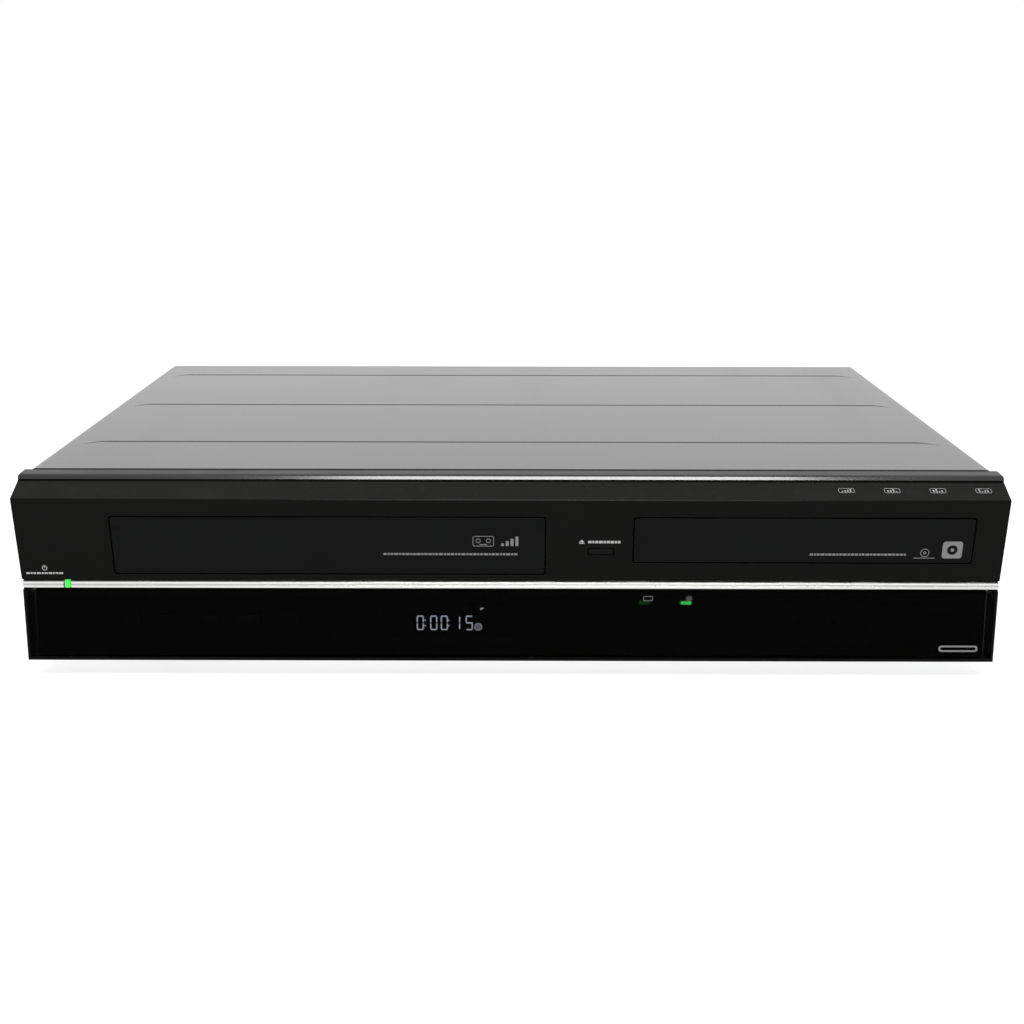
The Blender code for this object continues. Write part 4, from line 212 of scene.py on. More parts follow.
def combine(thing, operation, shapes):
    """Cuts shapes out of an object, or adds them to it, with exact Booleans."""
    tools = [solid(f"tool_{i}", shape) for i, shape in enumerate(shapes)]
    for other in tools:
        step = thing.modifiers.new("step", "BOOLEAN")
        step.operation, step.solver, step.object = operation, "EXACT", other
    settle(thing)
    for other in tools:
        bpy.data.objects.remove(other)


def flatten_normals(thing):
    """Lets the large flat faces decide the shading, so that a thin fillet beside one doesn't bend it."""
    thing.modifiers.new("flat", "WEIGHTED_NORMAL").keep_sharp = True


def finish_piece(thing, body, slot, materials, replaces=()):
    """Gives a piece its finish and its body, and hides the CAD pieces that it stands for."""
    thing.data.materials.clear()
    for material in materials:
        thing.data.materials.append(material)
    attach(thing, body)
    if replaces:
        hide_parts(*replaces)
    print(f"{thing.name}: {len(thing.data.polygons)} faces on {body}")
    return thing


def block(low, high):
    """A plain box as a loft of two rectangles, used for cuts."""
    left, front, bottom = low
    right, back, top = high
    ring = np.array([(left, bottom), (right, bottom), (right, top), (left, top)])
    return loft([np.insert(ring, 1, y, axis=1) for y in (front, back)])


def turned(profile, centre, axis, steps=48):
    """A lathe shape: each profile point (radius, distance) runs round the axis through the centre.
    Points on the ring are radius times (cos, sin) of evenly spaced angles."""
    profile = np.asarray(profile, float)
    angle = np.arange(steps) * 2 * np.pi / steps
    ring = np.stack([np.cos(angle), np.sin(angle)], -1)
    radius = np.maximum(profile[:, 0], 1e-6)
    flat = radius[:, None, None] * ring[None]
    along = np.broadcast_to(profile[:, 1][:, None, None], flat.shape[:2] + (1,))
    order = {"x": (2, 0, 1), "y": (0, 2, 1), "z": (0, 1, 2)}[axis]
    return loft(np.concatenate([flat, along], -1)[..., order] + np.asarray(centre, float))


# %% [markdown]
# ## Shared effects
#
# Real finishes are never one flat value. Three effects come back on nearly every material here, so
# each is a shader group made once: fine grain for height and colour, a film of dust that lies on
# faces that look up, and smudges left by hands. A group gives out masks and values only, and each
# material decides what to do with them on its own shader.


# %% Node helpers
def node(tree, kind, **values):
    """Adds a node and sets its properties or, where the name is a socket's, its inputs."""
    made = tree.nodes.new(kind)
    for name, value in values.items():
        if hasattr(made, name):
            setattr(made, name, value)
        else:
            made.inputs[name.replace("_", " ")].default_value = value
    return made


def start_group(name, inputs, outputs):
    """An empty shader group with float sockets, and one vector socket to say where."""
    tree = bpy.data.node_groups.new(name, "ShaderNodeTree")
    tree.interface.new_socket("Place", in_out="INPUT", socket_type="NodeSocketVector")
    for label, value in inputs.items():
        socket = tree.interface.new_socket(label, in_out="INPUT", socket_type="NodeSocketFloat")
        socket.default_value = value
    for label in outputs:
        tree.interface.new_socket(label, in_out="OUTPUT", socket_type="NodeSocketFloat")
    return tree, tree.nodes.new("NodeGroupInput"), tree.nodes.new("NodeGroupOutput")


def span(tree, source, low, high, new_low, new_high, smooth=True):
    """Moves a value from one range to another and holds it at the ends."""
    step = tree.nodes.new("ShaderNodeMapRange")
    step.interpolation_type = "SMOOTHSTEP" if smooth else "LINEAR"
    for i, value in enumerate((low, high, new_low, new_high), 1):
        step.inputs[i].default_value = value
    tree.links.new(source, step.inputs[0])
    return step.outputs[0]


# %% Fine grain
grain, g_in, g_out = start_group("moulded_grain", {"Scale": 2500.0, "Evenness": 0.5}, ["Height", "Mask"])
fine = node(grain, "ShaderNodeTexNoise", Detail=3.0, Roughness=0.6)
broad = node(grain, "ShaderNodeTexNoise", Scale=18.0, Detail=2.0)
grain.links.new(g_in.outputs["Place"], fine.inputs["Vector"])
grain.links.new(g_in.outputs["Scale"], fine.inputs["Scale"])
grain.links.new(g_in.outputs["Place"], broad.inputs["Vector"])
patch = node(grain, "ShaderNodeMath", operation="MULTIPLY_ADD")
grain.links.new(broad.outputs[0], patch.inputs[0])
grain.links.new(g_in.outputs["Evenness"], patch.inputs[1])
grain.links.new(fine.outputs[0], patch.inputs[2])
grain.links.new(fine.outputs[0], g_out.inputs["Height"])
grain.links.new(span(grain, patch.outputs[0], 0.45, 1.05, 0.0, 1.0), g_out.inputs["Mask"])

# %% Dust on faces that look up
dust, d_in, d_out = start_group("settled_dust", {"Amount": 0.4, "Scale": 120.0}, ["Mask"])
facing = node(dust, "ShaderNodeNewGeometry")
split = node(dust, "ShaderNodeSeparateXYZ")
dust.links.new(facing.outputs["Normal"], split.inputs[0])
motes = node(dust, "ShaderNodeTexNoise", Detail=6.0, Roughness=0.75)
dust.links.new(d_in.outputs["Place"], motes.inputs["Vector"])
dust.links.new(d_in.outputs["Scale"], motes.inputs["Scale"])
lying = node(dust, "ShaderNodeMath", operation="MULTIPLY")
dust.links.new(span(dust, split.outputs["Z"], 0.25, 1.0, 0.0, 1.0), lying.inputs[0])
dust.links.new(span(dust, motes.outputs[0], 0.45, 0.8, 0.0, 1.0), lying.inputs[1])
amount = node(dust, "ShaderNodeMath", operation="MULTIPLY")
dust.links.new(lying.outputs[0], amount.inputs[0])
dust.links.new(d_in.outputs["Amount"], amount.inputs[1])
dust.links.new(amount.outputs[0], d_out.inputs["Mask"])

# %% Smudges left by hands and cloths
smudge, s_in, s_out = start_group("wiped_smudges", {"Scale": 14.0, "Stretch": 0.25}, ["Mask"])
squeeze = node(smudge, "ShaderNodeCombineXYZ", X=1.0, Z=1.0)
smudge.links.new(s_in.outputs["Stretch"], squeeze.inputs["Y"])
wiped = node(smudge, "ShaderNodeVectorMath", operation="MULTIPLY")
smudge.links.new(s_in.outputs["Place"], wiped.inputs[0])
smudge.links.new(squeeze.outputs[0], wiped.inputs[1])
cloud = node(smudge, "ShaderNodeTexNoise", Detail=4.0, Roughness=0.55, Distortion=0.6)
smudge.links.new(wiped.outputs[0], cloud.inputs["Vector"])
smudge.links.new(s_in.outputs["Scale"], cloud.inputs["Scale"])
smudge.links.new(span(smudge, cloud.outputs[0], 0.4, 0.72, 0.0, 1.0), s_out.inputs["Mask"])
print("shader groups:", [tree.name for tree in (grain, dust, smudge)])

# %% [markdown]
# ## Materials
#
# Each finish starts from the same steps: a base colour that the grain shifts a little, a roughness
# that smudges lift, a bump from the grain, and dust over it all. The constant values, such as the
# specular level, sit on the shader itself. The front of the player is nearly black and hardly
# mirrors the pale table, so its specular level is low. The case is dark paint too, and looks pale
# only because a low view makes any gloss paint mirror the room behind it.


# %% A base for the plastics and paints
def start_material(name):
    material = bpy.data.materials.new(name)
    material.use_nodes = True
    tree = material.node_tree
    shader = tree.nodes["Principled BSDF"]
    where = node(tree, "ShaderNodeTexCoord")
    return material, tree, shader, where.outputs["Object"]


def use_group(tree, group, place, **values):
    made = tree.nodes.new("ShaderNodeGroup")
    made.node_tree = group
    tree.links.new(place, made.inputs["Place"])
    for name, value in values.items():
        made.inputs[name].default_value = value
    return made


def blend_colour(tree, mask, first, second):
    """Mixes two colours by a mask; either may be a colour or a socket."""
    mix = node(tree, "ShaderNodeMix", data_type="RGBA")
    tree.links.new(mask, mix.inputs[0])
    for socket, value in ((mix.inputs[6], first), (mix.inputs[7], second)):
        if isinstance(value, tuple):
            socket.default_value = value + (1.0,)
        else:
            tree.links.new(value, socket)
    return mix.outputs[2]


def bump_from(tree, shader, height, strength, distance):
    """Bends the normal by a height pattern."""
    relief = node(tree, "ShaderNodeBump", Strength=strength, Distance=distance)
    tree.links.new(height, relief.inputs["Height"])
    tree.links.new(relief.outputs[0], shader.inputs["Normal"])


def coated(name, colour, shift=1.25, roughness=(0.3, 0.42), specular=0.5, ior=1.5, grain_scale=2500.0,
           bump=0.02, dust_amount=0.25, dust_colour=(0.2, 0.19, 0.17), metallic=0.0, smudge_scale=14.0):
    """A painted or moulded finish: grain shifts the colour, smudges lift the roughness, and dust lies
    on top."""
    material, tree, shader, place = start_material(name)
    speck = use_group(tree, grain, place, Scale=grain_scale)
    rub = use_group(tree, smudge, place, Scale=smudge_scale)
    film = use_group(tree, dust, place, Amount=dust_amount)
    tone = blend_colour(tree, speck.outputs["Mask"], colour, tuple(min(1.0, c * shift) for c in colour))
    top = blend_colour(tree, film.outputs["Mask"], tone, dust_colour)
    tree.links.new(top, shader.inputs["Base Color"])
    rough = span(tree, rub.outputs["Mask"], 0.0, 1.0, *roughness)
    tree.links.new(rough, shader.inputs["Roughness"])
    bump_from(tree, shader, speck.outputs["Height"], bump, 0.0002)
    shader.inputs["Specular IOR Level"].default_value = specular
    shader.inputs["IOR"].default_value = ior
    shader.inputs["Metallic"].default_value = metallic
    return material


# %% Plastics, rubber and plated metal
bezel_plastic = coated("bezel_plastic", (0.0040, 0.0037, 0.0034), roughness=(0.2, 0.3), specular=0.05,
                       grain_scale=3200.0, bump=0.03, dust_amount=0.02)
cap_plastic = coated("cap_plastic", (0.0040, 0.0042, 0.0044), roughness=(0.16, 0.24), specular=0.05,
                     grain_scale=3600.0, bump=0.02, dust_amount=0.02)
dark_plastic = coated("dark_plastic", (0.022, 0.022, 0.023), roughness=(0.5, 0.62), specular=0.4,
                      grain_scale=1800.0, bump=0.08)
light_plastic = coated("light_plastic", (0.62, 0.61, 0.56), shift=1.06, roughness=(0.38, 0.5),
                       grain_scale=1500.0, bump=0.03, dust_colour=(0.4, 0.38, 0.33))
rubber = coated("rubber", (0.016, 0.016, 0.016), roughness=(0.75, 0.88), specular=0.3,
                grain_scale=1400.0, bump=0.15, dust_amount=0.3)
bright_metal = coated("bright_metal", (0.66, 0.66, 0.65), shift=1.1, roughness=(0.16, 0.3), metallic=1.0,
                      grain_scale=900.0, bump=0.02, dust_amount=0.05)
# The narrow step below the shoulder is buffed, so a clear coat lies between these heights.
COAT_STARTS, COAT_ENDS = (91.5 * MM, 91.8 * MM), (93.2 * MM, 93.45 * MM)
tree, shader = bezel_plastic.node_tree, bezel_plastic.node_tree.nodes["Principled BSDF"]
height = node(tree, "ShaderNodeSeparateXYZ")
tree.links.new(node(tree, "ShaderNodeTexCoord").outputs["Object"], height.inputs[0])
buffed = node(tree, "ShaderNodeMath", operation="MULTIPLY")
tree.links.new(span(tree, height.outputs["Z"], *COAT_STARTS, 0.0, 1.0), buffed.inputs[0])
tree.links.new(span(tree, height.outputs["Z"], *COAT_ENDS, 1.0, 0.0), buffed.inputs[1])
tree.links.new(buffed.outputs[0], shader.inputs["Coat Weight"])
shader.inputs["Coat Roughness"].default_value = 0.15
print("made", len(bpy.data.materials), "materials so far")

# %% [markdown]
# ### Case paint, with pressed lines
#
# The case is one bent sheet sprayed charcoal. The paint has a slight orange peel, and the pressed
# lines get painted shade: the crease is painted nearly black. The cover's mesh carries an attribute
# named "pressed" that is 1 at the bottom of a line, and the material paints shade and dulls there.

# %% Case paint
case_paint, tree, shader, place = start_material("case_paint")
peel = use_group(tree, grain, place, Scale=700.0, Evenness=0.3)
rub = use_group(tree, smudge, place, Scale=9.0, Stretch=0.12)
film = use_group(tree, dust, place, Amount=0.10, Scale=300.0)
pressed = node(tree, "ShaderNodeAttribute", attribute_name="pressed")
base = blend_colour(tree, peel.outputs["Mask"], (0.022, 0.022, 0.021), (0.03, 0.03, 0.029))
base = blend_colour(tree, film.outputs["Mask"], base, (0.16, 0.155, 0.145))
# Painted shade: the bottom of each pressed line is painted nearly black, as if in shadow.
base = blend_colour(tree, pressed.outputs["Fac"], base, (0.001, 0.001, 0.001))
tree.links.new(base, shader.inputs["Base Color"])
sheen = span(tree, rub.outputs["Mask"], 0.0, 1.0, 0.11, 0.17)
dull = node(tree, "ShaderNodeMath", operation="MULTIPLY_ADD")
dull.inputs[1].default_value = 0.6
tree.links.new(pressed.outputs["Fac"], dull.inputs[0])
tree.links.new(sheen, dull.inputs[2])
tree.links.new(dull.outputs[0], shader.inputs["Roughness"])
bump_from(tree, shader, peel.outputs["Height"], 0.02, 0.0003)
shader.inputs["IOR"].default_value = 1.40
print("case paint reads the attribute", pressed.attribute_name)

# %% [markdown]
# ### Bright trim, zinc sheet, circuit board, winding
#
# The strip is plastic with a metallised skin, polished along its length, so its noise is stretched
# along X. Zinc sheet shows the frozen crystals of its plating as a Voronoi pattern of slightly
# different greys. The board's mask shows copper tracks as darker and lighter cells, and the
# transformer's winding is a fine wave of varnished wire.


# %% Bright trim
def stretched(tree, place, scale):
    """The place multiplied along each axis, which stretches any pattern that reads it."""
    step = node(tree, "ShaderNodeMapping")
    step.inputs["Scale"].default_value = scale
    tree.links.new(place, step.inputs["Vector"])
    return step.outputs[0]


bright_trim, tree, shader, place = start_material("bright_trim")
brushed = node(tree, "ShaderNodeTexNoise", Scale=900.0, Detail=3.0)
tree.links.new(stretched(tree, place, (0.02, 1.0, 1.0)), brushed.inputs["Vector"])
rub = use_group(tree, smudge, place, Scale=30.0)
tone = blend_colour(tree, brushed.outputs[0], (0.56, 0.56, 0.55), (0.68, 0.68, 0.67))
tree.links.new(tone, shader.inputs["Base Color"])
tree.links.new(span(tree, rub.outputs["Mask"], 0.0, 1.0, 0.22, 0.34), shader.inputs["Roughness"])
bump_from(tree, shader, brushed.outputs[0], 0.04, 0.0002)
shader.inputs["Metallic"].default_value = 1.0

# %% Zinc sheet
zinc_sheet, tree, shader, place = start_material("zinc_sheet")
spangle = node(tree, "ShaderNodeTexVoronoi", Scale=160.0)
tree.links.new(place, spangle.inputs["Vector"])
flake = node(tree, "ShaderNodeSeparateColor")
tree.links.new(spangle.outputs["Color"], flake.inputs[0])
film = use_group(tree, dust, place, Amount=0.35)
tone = blend_colour(tree, flake.outputs[0], (0.42, 0.43, 0.44), (0.6, 0.61, 0.61))
tone = blend_colour(tree, film.outputs["Mask"], tone, (0.3, 0.28, 0.25))
tree.links.new(tone, shader.inputs["Base Color"])
tree.links.new(span(tree, flake.outputs[1], 0.0, 1.0, 0.34, 0.5), shader.inputs["Roughness"])
shader.inputs["Metallic"].default_value = 1.0

# %% Circuit board
board_green, tree, shader, place = start_material("board_green")
tracks = node(tree, "ShaderNodeTexBrick", Scale=90.0, offset=0.35, squash=1.6, squash_frequency=3)
tracks.inputs["Mortar Size"].default_value = 0.06
tree.links.new(place, tracks.inputs["Vector"])
pads = node(tree, "ShaderNodeTexVoronoi", Scale=260.0)
tree.links.new(place, pads.inputs["Vector"])
mask_tone = blend_colour(tree, tracks.outputs["Fac"], (0.02, 0.12, 0.05), (0.04, 0.2, 0.08))
solder = span(tree, pads.outputs["Distance"], 0.12, 0.18, 1.0, 0.0)
tree.links.new(blend_colour(tree, solder, mask_tone, (0.5, 0.5, 0.46)), shader.inputs["Base Color"])
tree.links.new(span(tree, solder, 0.0, 1.0, 0.35, 0.22), shader.inputs["Roughness"])
bump_from(tree, shader, tracks.outputs["Fac"], 0.15, 0.0003)

# %% Winding
copper_coil, tree, shader, place = start_material("copper_coil")
wires = node(tree, "ShaderNodeTexWave", Scale=420.0, Distortion=0.6, bands_direction="Z")
tree.links.new(place, wires.inputs["Vector"])
tree.links.new(blend_colour(tree, wires.outputs["Fac"], (0.16, 0.06, 0.02), (0.5, 0.24, 0.08)),
               shader.inputs["Base Color"])
bump_from(tree, shader, wires.outputs["Fac"], 0.4, 0.0004)
shader.inputs["Roughness"].default_value = 0.35
print("metal, board and winding are ready")

# %% [markdown]
# ### Smoked plastic, lights and inks
#
# The lower door is smoked acrylic: nearly black at a glance, but a lit display shows through it. So
# it is a clear plastic with a very dark tint, and the display behind it shines brightly. The green
# lights are clear guides that glow, and the marks are thin printed ink, a little worn.

# %% Smoked plastic
smoked_plastic, tree, shader, place = start_material("smoked_plastic")
rub = use_group(tree, smudge, place, Scale=8.0, Stretch=0.6)
tint = blend_colour(tree, rub.outputs["Mask"], (0.040, 0.040, 0.048), (0.044, 0.044, 0.052))
tree.links.new(tint, shader.inputs["Base Color"])
tree.links.new(span(tree, rub.outputs["Mask"], 0.0, 1.0, 0.02, 0.05), shader.inputs["Roughness"])
shader.inputs["Transmission Weight"].default_value = 1.0
shader.inputs["IOR"].default_value = 1.08


# %% Lights, display and inks
def glowing(name, colour, strength, dim):
    """A lit surface: its glow falls off in patches, as behind a real diffuser."""
    material, tree, shader, place = start_material(name)
    patchy = node(tree, "ShaderNodeTexNoise", Scale=700.0, Detail=1.0)
    tree.links.new(place, patchy.inputs["Vector"])
    tone = blend_colour(tree, patchy.outputs[0], tuple(c * dim for c in colour), colour)
    tree.links.new(tone, shader.inputs["Emission Color"])
    tree.links.new(tone, shader.inputs["Base Color"])
    shader.inputs["Emission Strength"].default_value = strength
    shader.inputs["Roughness"].default_value = 0.3
    return material


light_guide = glowing("light_guide", (0.06, 0.75, 0.08), 1.1, 0.5)
mode_glow = glowing("mode_glow", (0.10, 0.9, 0.12), 14.0, 0.7)
digit_glow = glowing("digit_glow", (0.75, 0.85, 0.85), 9.0, 0.6)
display_glass = coated("display_glass", (0.006, 0.007, 0.008), roughness=(0.06, 0.12), specular=0.5, bump=0.0)


def ink(name, colour, worn):
    """Printed ink: grain eats a little of it away, so it thins to the worn colour."""
    material, tree, shader, place = start_material(name)
    speck = use_group(tree, grain, place, Scale=4000.0, Evenness=0.8)
    tree.links.new(blend_colour(tree, speck.outputs["Mask"], worn, colour), shader.inputs["Base Color"])
    shader.inputs["Roughness"].default_value = 0.55
    shader.inputs["Specular IOR Level"].default_value = 0.2
    return material


pale_ink = ink("pale_ink", (0.62, 0.62, 0.62), (0.4, 0.4, 0.4))
grey_ink = ink("grey_ink", (0.30, 0.30, 0.30), (0.17, 0.17, 0.17))
finish_of = {
    "case_paint": case_paint, "bezel_plastic": bezel_plastic, "smoked_plastic": smoked_plastic,
    "bright_trim": bright_trim, "zinc_sheet": zinc_sheet, "board_green": board_green,
    "dark_plastic": dark_plastic, "light_plastic": light_plastic, "bright_metal": bright_metal,
    "copper_coil": copper_coil, "rubber": rubber, "light_guide": light_guide,
    "display_glass": display_glass,
}
for name, thing in frame["nodes"].items():
    for slot in thing.material_slots:
        slot.material = finish_of[slot_of[name]]
print("every CAD piece has a finish")

# %% [markdown]
# ## Front bezel
#
# The bezel is one moulding: a shoulder that runs down from the case, a small step, a sloping top, a
# sharp brow, and a face that leans back to a ledge with a channel for the bright strip. All of that
# is one profile carried across the whole width, with each corner rounded by its own radius. The two
# ends are rounded by pulling the last few copies of the profile inwards. The mouths are then cut
# through the face, each with a rounded lip, because a moulded edge is never sharp and it is the lips
# that catch the light. The brow is a narrow flat that faces up and forward, and so draws one thin line.

# %% The bezel's profile
BROW = (-182.2, 85.9)
KINK = (-172.3, 49.1)
BEZEL_CORNERS = np.array([
    (-169.1, 8.6, 0.3), (-156.0, 8.6, 0.3), (-156.0, 93.9, 0.4), (-165.3, 93.7, 3.0), (-167.7, 93.4, 0.2),
    (-168.55, 92.0, 0.2), (-168.2, 91.4, 0.15), (-181.78, 86.06, 0.16), (-182.08, 85.46, 0.16),
    (*KINK, 0.6), (-171.6, 46.9, 0.25), (-169.6, 46.9, 0.05),
    (-169.6, 42.2, 0.05), (-170.9, 41.9, 0.25),
]) * MM
bezel_profile = round_corners(BEZEL_CORNERS[:, :2], BEZEL_CORNERS[:, 2])
print("the bezel's profile has", len(bezel_profile), "points")


def face_depth(z):
    """The leaning face's Y at a height: a straight line from the kink to the brow."""
    share = (np.asarray(z) - KINK[1] * MM) / ((BROW[1] - KINK[1]) * MM)
    return (KINK[0] + (BROW[0] - KINK[0]) * share) * MM


def pulled_in(outline, inset):
    """The outline moved inwards by an inset, along the mean normal of each point's two sides."""
    along = np.roll(outline, -1, 0) - np.roll(outline, 1, 0)
    along /= np.maximum(np.linalg.norm(along, axis=1), 1e-9)[:, None]
    normal = np.stack([-along[:, 1], along[:, 0]], 1)
    area = (outline[:, 0] * np.roll(outline[:, 1], -1) - np.roll(outline[:, 0], -1) * outline[:, 1]).sum()
    return outline + normal * inset * np.sign(area)


# %% Carry it across and round the ends
HALF, END_ROUND = 217.5 * MM, 0.12 * MM
turn = np.linspace(0, np.pi / 2, 5)
stops = np.concatenate([END_ROUND * (1 - np.sin(turn[::-1])), [6 * MM]])
insets = np.concatenate([END_ROUND * (1 - np.cos(turn[::-1])), [0.0]])
stations = [(-1, s, i) for s, i in zip(stops, insets)]
stations += [(1, s, i) for s, i in zip(stops[::-1], insets[::-1])]
loops = []
for side, stop, inset in stations:
    loops.append(np.insert(pulled_in(bezel_profile, inset), 0, side * (HALF - stop), axis=1))
bezel = solid("bezel_shell", loft(loops))
print("bezel before its cuts:", len(bezel.data.polygons), "faces")


# %% Hollow, lower bay and mouths
def opening(corners, corner, lip, wall=12 * MM):
    """A cutter for a mouth in the face: a rounded rectangle that starts wider by the lip, closes in
    along a quarter circle as it goes deeper, and then runs straight back."""
    left, low, right, high = corners
    turn = np.linspace(0, np.pi / 2, 5)
    grow = np.concatenate([[lip], lip * (1 - np.sin(turn)), [0.0]])
    depth = np.concatenate([[-2 * MM], lip * (1 - np.cos(turn)), [wall]])
    loops = []
    for g, d in zip(grow, depth):
        ring = corner_loop(left - g, low - g, right + g, high + g, corner + g)
        loops.append(np.stack([ring[:, 0], face_depth(ring[:, 1]) + d, ring[:, 1]], 1))
    return loft(loops)


def rod(start, end, radius, steps=16):
    """A plain round bar along Y."""
    profile = [(0, start[1]), (radius, start[1]), (radius, end[1]), (0, end[1])]
    return turned(profile, (start[0], 0, start[2]), "y", steps)


def cross_rod(start, end, y, z, radius, steps=16):
    """A plain round bar along X."""
    return turned([(0, start), (radius, start), (radius, end), (0, end)], (0, y, z), "x", steps)


DOOR_AXIS_Y, DOOR_AXIS_Z = -167.6 * MM, 11.8 * MM
HOLLOW = np.array([(-169.25, 47.4), (-154.0, 47.4), (-154.0, 91.4), (-166.1, 88.9), (-178.94, 83.4)]) * MM
hollow = loft([np.insert(HOLLOW, 0, x, axis=1) for x in (-215.0 * MM, 215.0 * MM)])
bay = block((-216.3 * MM, -184 * MM, 10.0 * MM), (216.3 * MM, -154 * MM, 42.3 * MM))
FLAP_MOUTH = np.array((-175.85, 49.6, 15.65, 77.8)) * MM
TRAY_MOUTH = np.array((53.9, 55.5, 203.9, 77.7)) * MM
BUTTON_SLOT = np.array((34.1, 59.4, 45.7, 62.6)) * MM
STRIP_MIDDLE = 44.8 * MM
PEG_PLACES = (-150 * MM, 0, 150 * MM)
pocket = block((-219 * MM, -170 * MM, 42.75 * MM), (-198.6 * MM, -168.5 * MM, 46.85 * MM))
combine(bezel, "DIFFERENCE", [hollow, bay, pocket])
combine(bezel, "DIFFERENCE", [
    opening(FLAP_MOUTH, 1.2 * MM, 0.35 * MM), opening(TRAY_MOUTH, 1.2 * MM, 0.3 * MM),
    opening(BUTTON_SLOT, 0.3 * MM, 0.25 * MM),
    rod((-208.05 * MM, -169 * MM, STRIP_MIDDLE), (0, -154 * MM, 0), 1.5 * MM),
    rod((-197.4 * MM, -170 * MM, STRIP_MIDDLE), (0, -154 * MM, 0), 1.0 * MM),
] + [rod((x, -170 * MM, STRIP_MIDDLE), (0, -164.6 * MM, 0), 1.2 * MM) for x in PEG_PLACES]
  + [cross_rod(a * MM, b * MM, DOOR_AXIS_Y, DOOR_AXIS_Z, 1.1 * MM)
     for a, b in ((-219, -215.8), (215.8, 219))])
flatten_normals(bezel)
finish_piece(bezel, "chassis", "bezel_plastic", [bezel_plastic], ["front_bezel"])

# %% [markdown]
# ## Cassette flap and tray front
#
# Both are thin moulded panels that sit flush in their mouths, with a hair of dark gap round them.
# Each is a stack of rounded rectangles: the first ones grow along a quarter circle, which makes the
# soft front edge, and the rest run straight back. The flap also has an arm at each end and a pin
# that its spring turns on, so that nothing hangs in the air when it opens.


# %% Panels flush with the face
def face_cap(corners, thickness, corner, edge, stand=0.0):
    """A panel in the leaning face. Its front edge is a quarter circle: the inset is edge times
    (1 - sin) and the depth is edge times (1 - cos) of an angle that runs over a quarter turn."""
    left, low, right, high = corners
    turn = np.linspace(0, np.pi / 2, 6)
    inset = np.concatenate([edge * (1 - np.sin(turn)), [0.0]])
    depth = np.concatenate([edge * (1 - np.cos(turn)), [thickness]])
    loops = []
    for i, d in zip(inset, depth):
        ring = corner_loop(left + i, low + i, right - i, high - i, corner - i)
        loops.append(np.stack([ring[:, 0], face_depth(ring[:, 1]) + d - stand, ring[:, 1]], 1))
    return loft(loops)


FLAP = np.array((-175.35, 50.1, 15.15, 77.3)) * MM
flap_shapes = [face_cap(FLAP, 2.2 * MM, 1.2 * MM, 0.45 * MM)]
pin_y, pin_z = -175.62 * MM, 80.3 * MM
arm = np.array([
    (-179.0, 72.3), (-174.4, 72.3), (-174.4, 81.6), (-177.1, 81.6), (-177.1, 76.3), (-178.4, 76.1),
]) * MM
for start, end, tip in ((-174.1, -171.1, -178.8), (10.9, 13.9, 18.6)):
    flap_shapes.append(loft([np.insert(arm, 0, x * MM, axis=1) for x in (start, end)]))
    middle = (start + end) / 2 * MM
    run = sorted((middle, tip * MM))
    flap_shapes.append(cross_rod(*run, pin_y, pin_z, 0.9 * MM))
flap = solid("cassette_door", joined(flap_shapes))
flatten_normals(flap)
finish_piece(flap, "flap", "bezel_plastic", [cap_plastic], ["cassette_flap"])

TRAY_FRONT = np.array((54.4, 56.0, 203.4, 77.2)) * MM
tray_cap = solid("tray_cap", face_cap(TRAY_FRONT, 2.2 * MM, 1.2 * MM, 0.4 * MM))
flatten_normals(tray_cap)
finish_piece(tray_cap, "tray", "bezel_plastic", [cap_plastic], ["tray_front"])

# %% [markdown]
# ## Bright strip, standby button and its light
#
# The strip is a shallow moulding with a groove along its middle and a slope along its upper edge,
# which mirrors the dark face above it. Its left end is cut free and is the standby button, with a
# small light guide between the two. One section serves all three, and each is a length of it.

# %% Strip section and its groove
STRIP_CORNERS = np.array([
    (-171.6, 43.0, 0.5), (-169.9, 43.0, 0.05), (-169.9, 46.6, 0.05), (-170.75, 46.6, 0.1),
    (-171.6, 45.8, 0.2), (-171.6, 45.0, 0.15), (-171.15, 44.55, 0.12), (-171.6, 44.1, 0.15),
]) * MM
strip_section = round_corners(STRIP_CORNERS[:, :2], STRIP_CORNERS[:, 2], 4)


def strip_length(start, end, soften=0.25 * MM):
    """The strip's section carried from start to end, with both ends drawn in by a small amount."""
    loops = [
        np.insert(pulled_in(strip_section, inset), 0, x, axis=1)
        for x, inset in ((start, soften), (start + soften, 0), (end - soften, 0), (end, soften))
    ]
    return loft(loops)


def stem(x, back, radius):
    return rod((x, -170.2 * MM, STRIP_MIDDLE), (0, back, 0), radius, 12)


strip = solid("bright_strip", joined(
    [strip_length(-195.9 * MM, 217.2 * MM)] + [stem(x, -164.9 * MM, 0.9 * MM) for x in PEG_PLACES]))
flatten_normals(strip)
finish_piece(strip, "chassis", "bright_trim", [bright_trim], ["trim_strip"])
standby = solid("standby_cap", joined(
    [strip_length(-217.2 * MM, -198.9 * MM), stem(-208.05 * MM, -156.8 * MM, 1.2 * MM)]))
flatten_normals(standby)
finish_piece(standby, "standby", "bright_trim", [bright_trim], ["standby_button"])
lamp = solid("standby_lens", joined(
    [strip_length(-198.6 * MM, -196.2 * MM), stem(-197.4 * MM, -154.2 * MM, 0.7 * MM)]))
finish_piece(lamp, "chassis", "light_guide", [light_guide], ["standby_light"])

# %% [markdown]
# ## Open and close button
#
# A narrow pill in a slot in the face. It stands a little proud and its front edge is rounded, so
# that a finger finds it and the light draws one bright line along it.

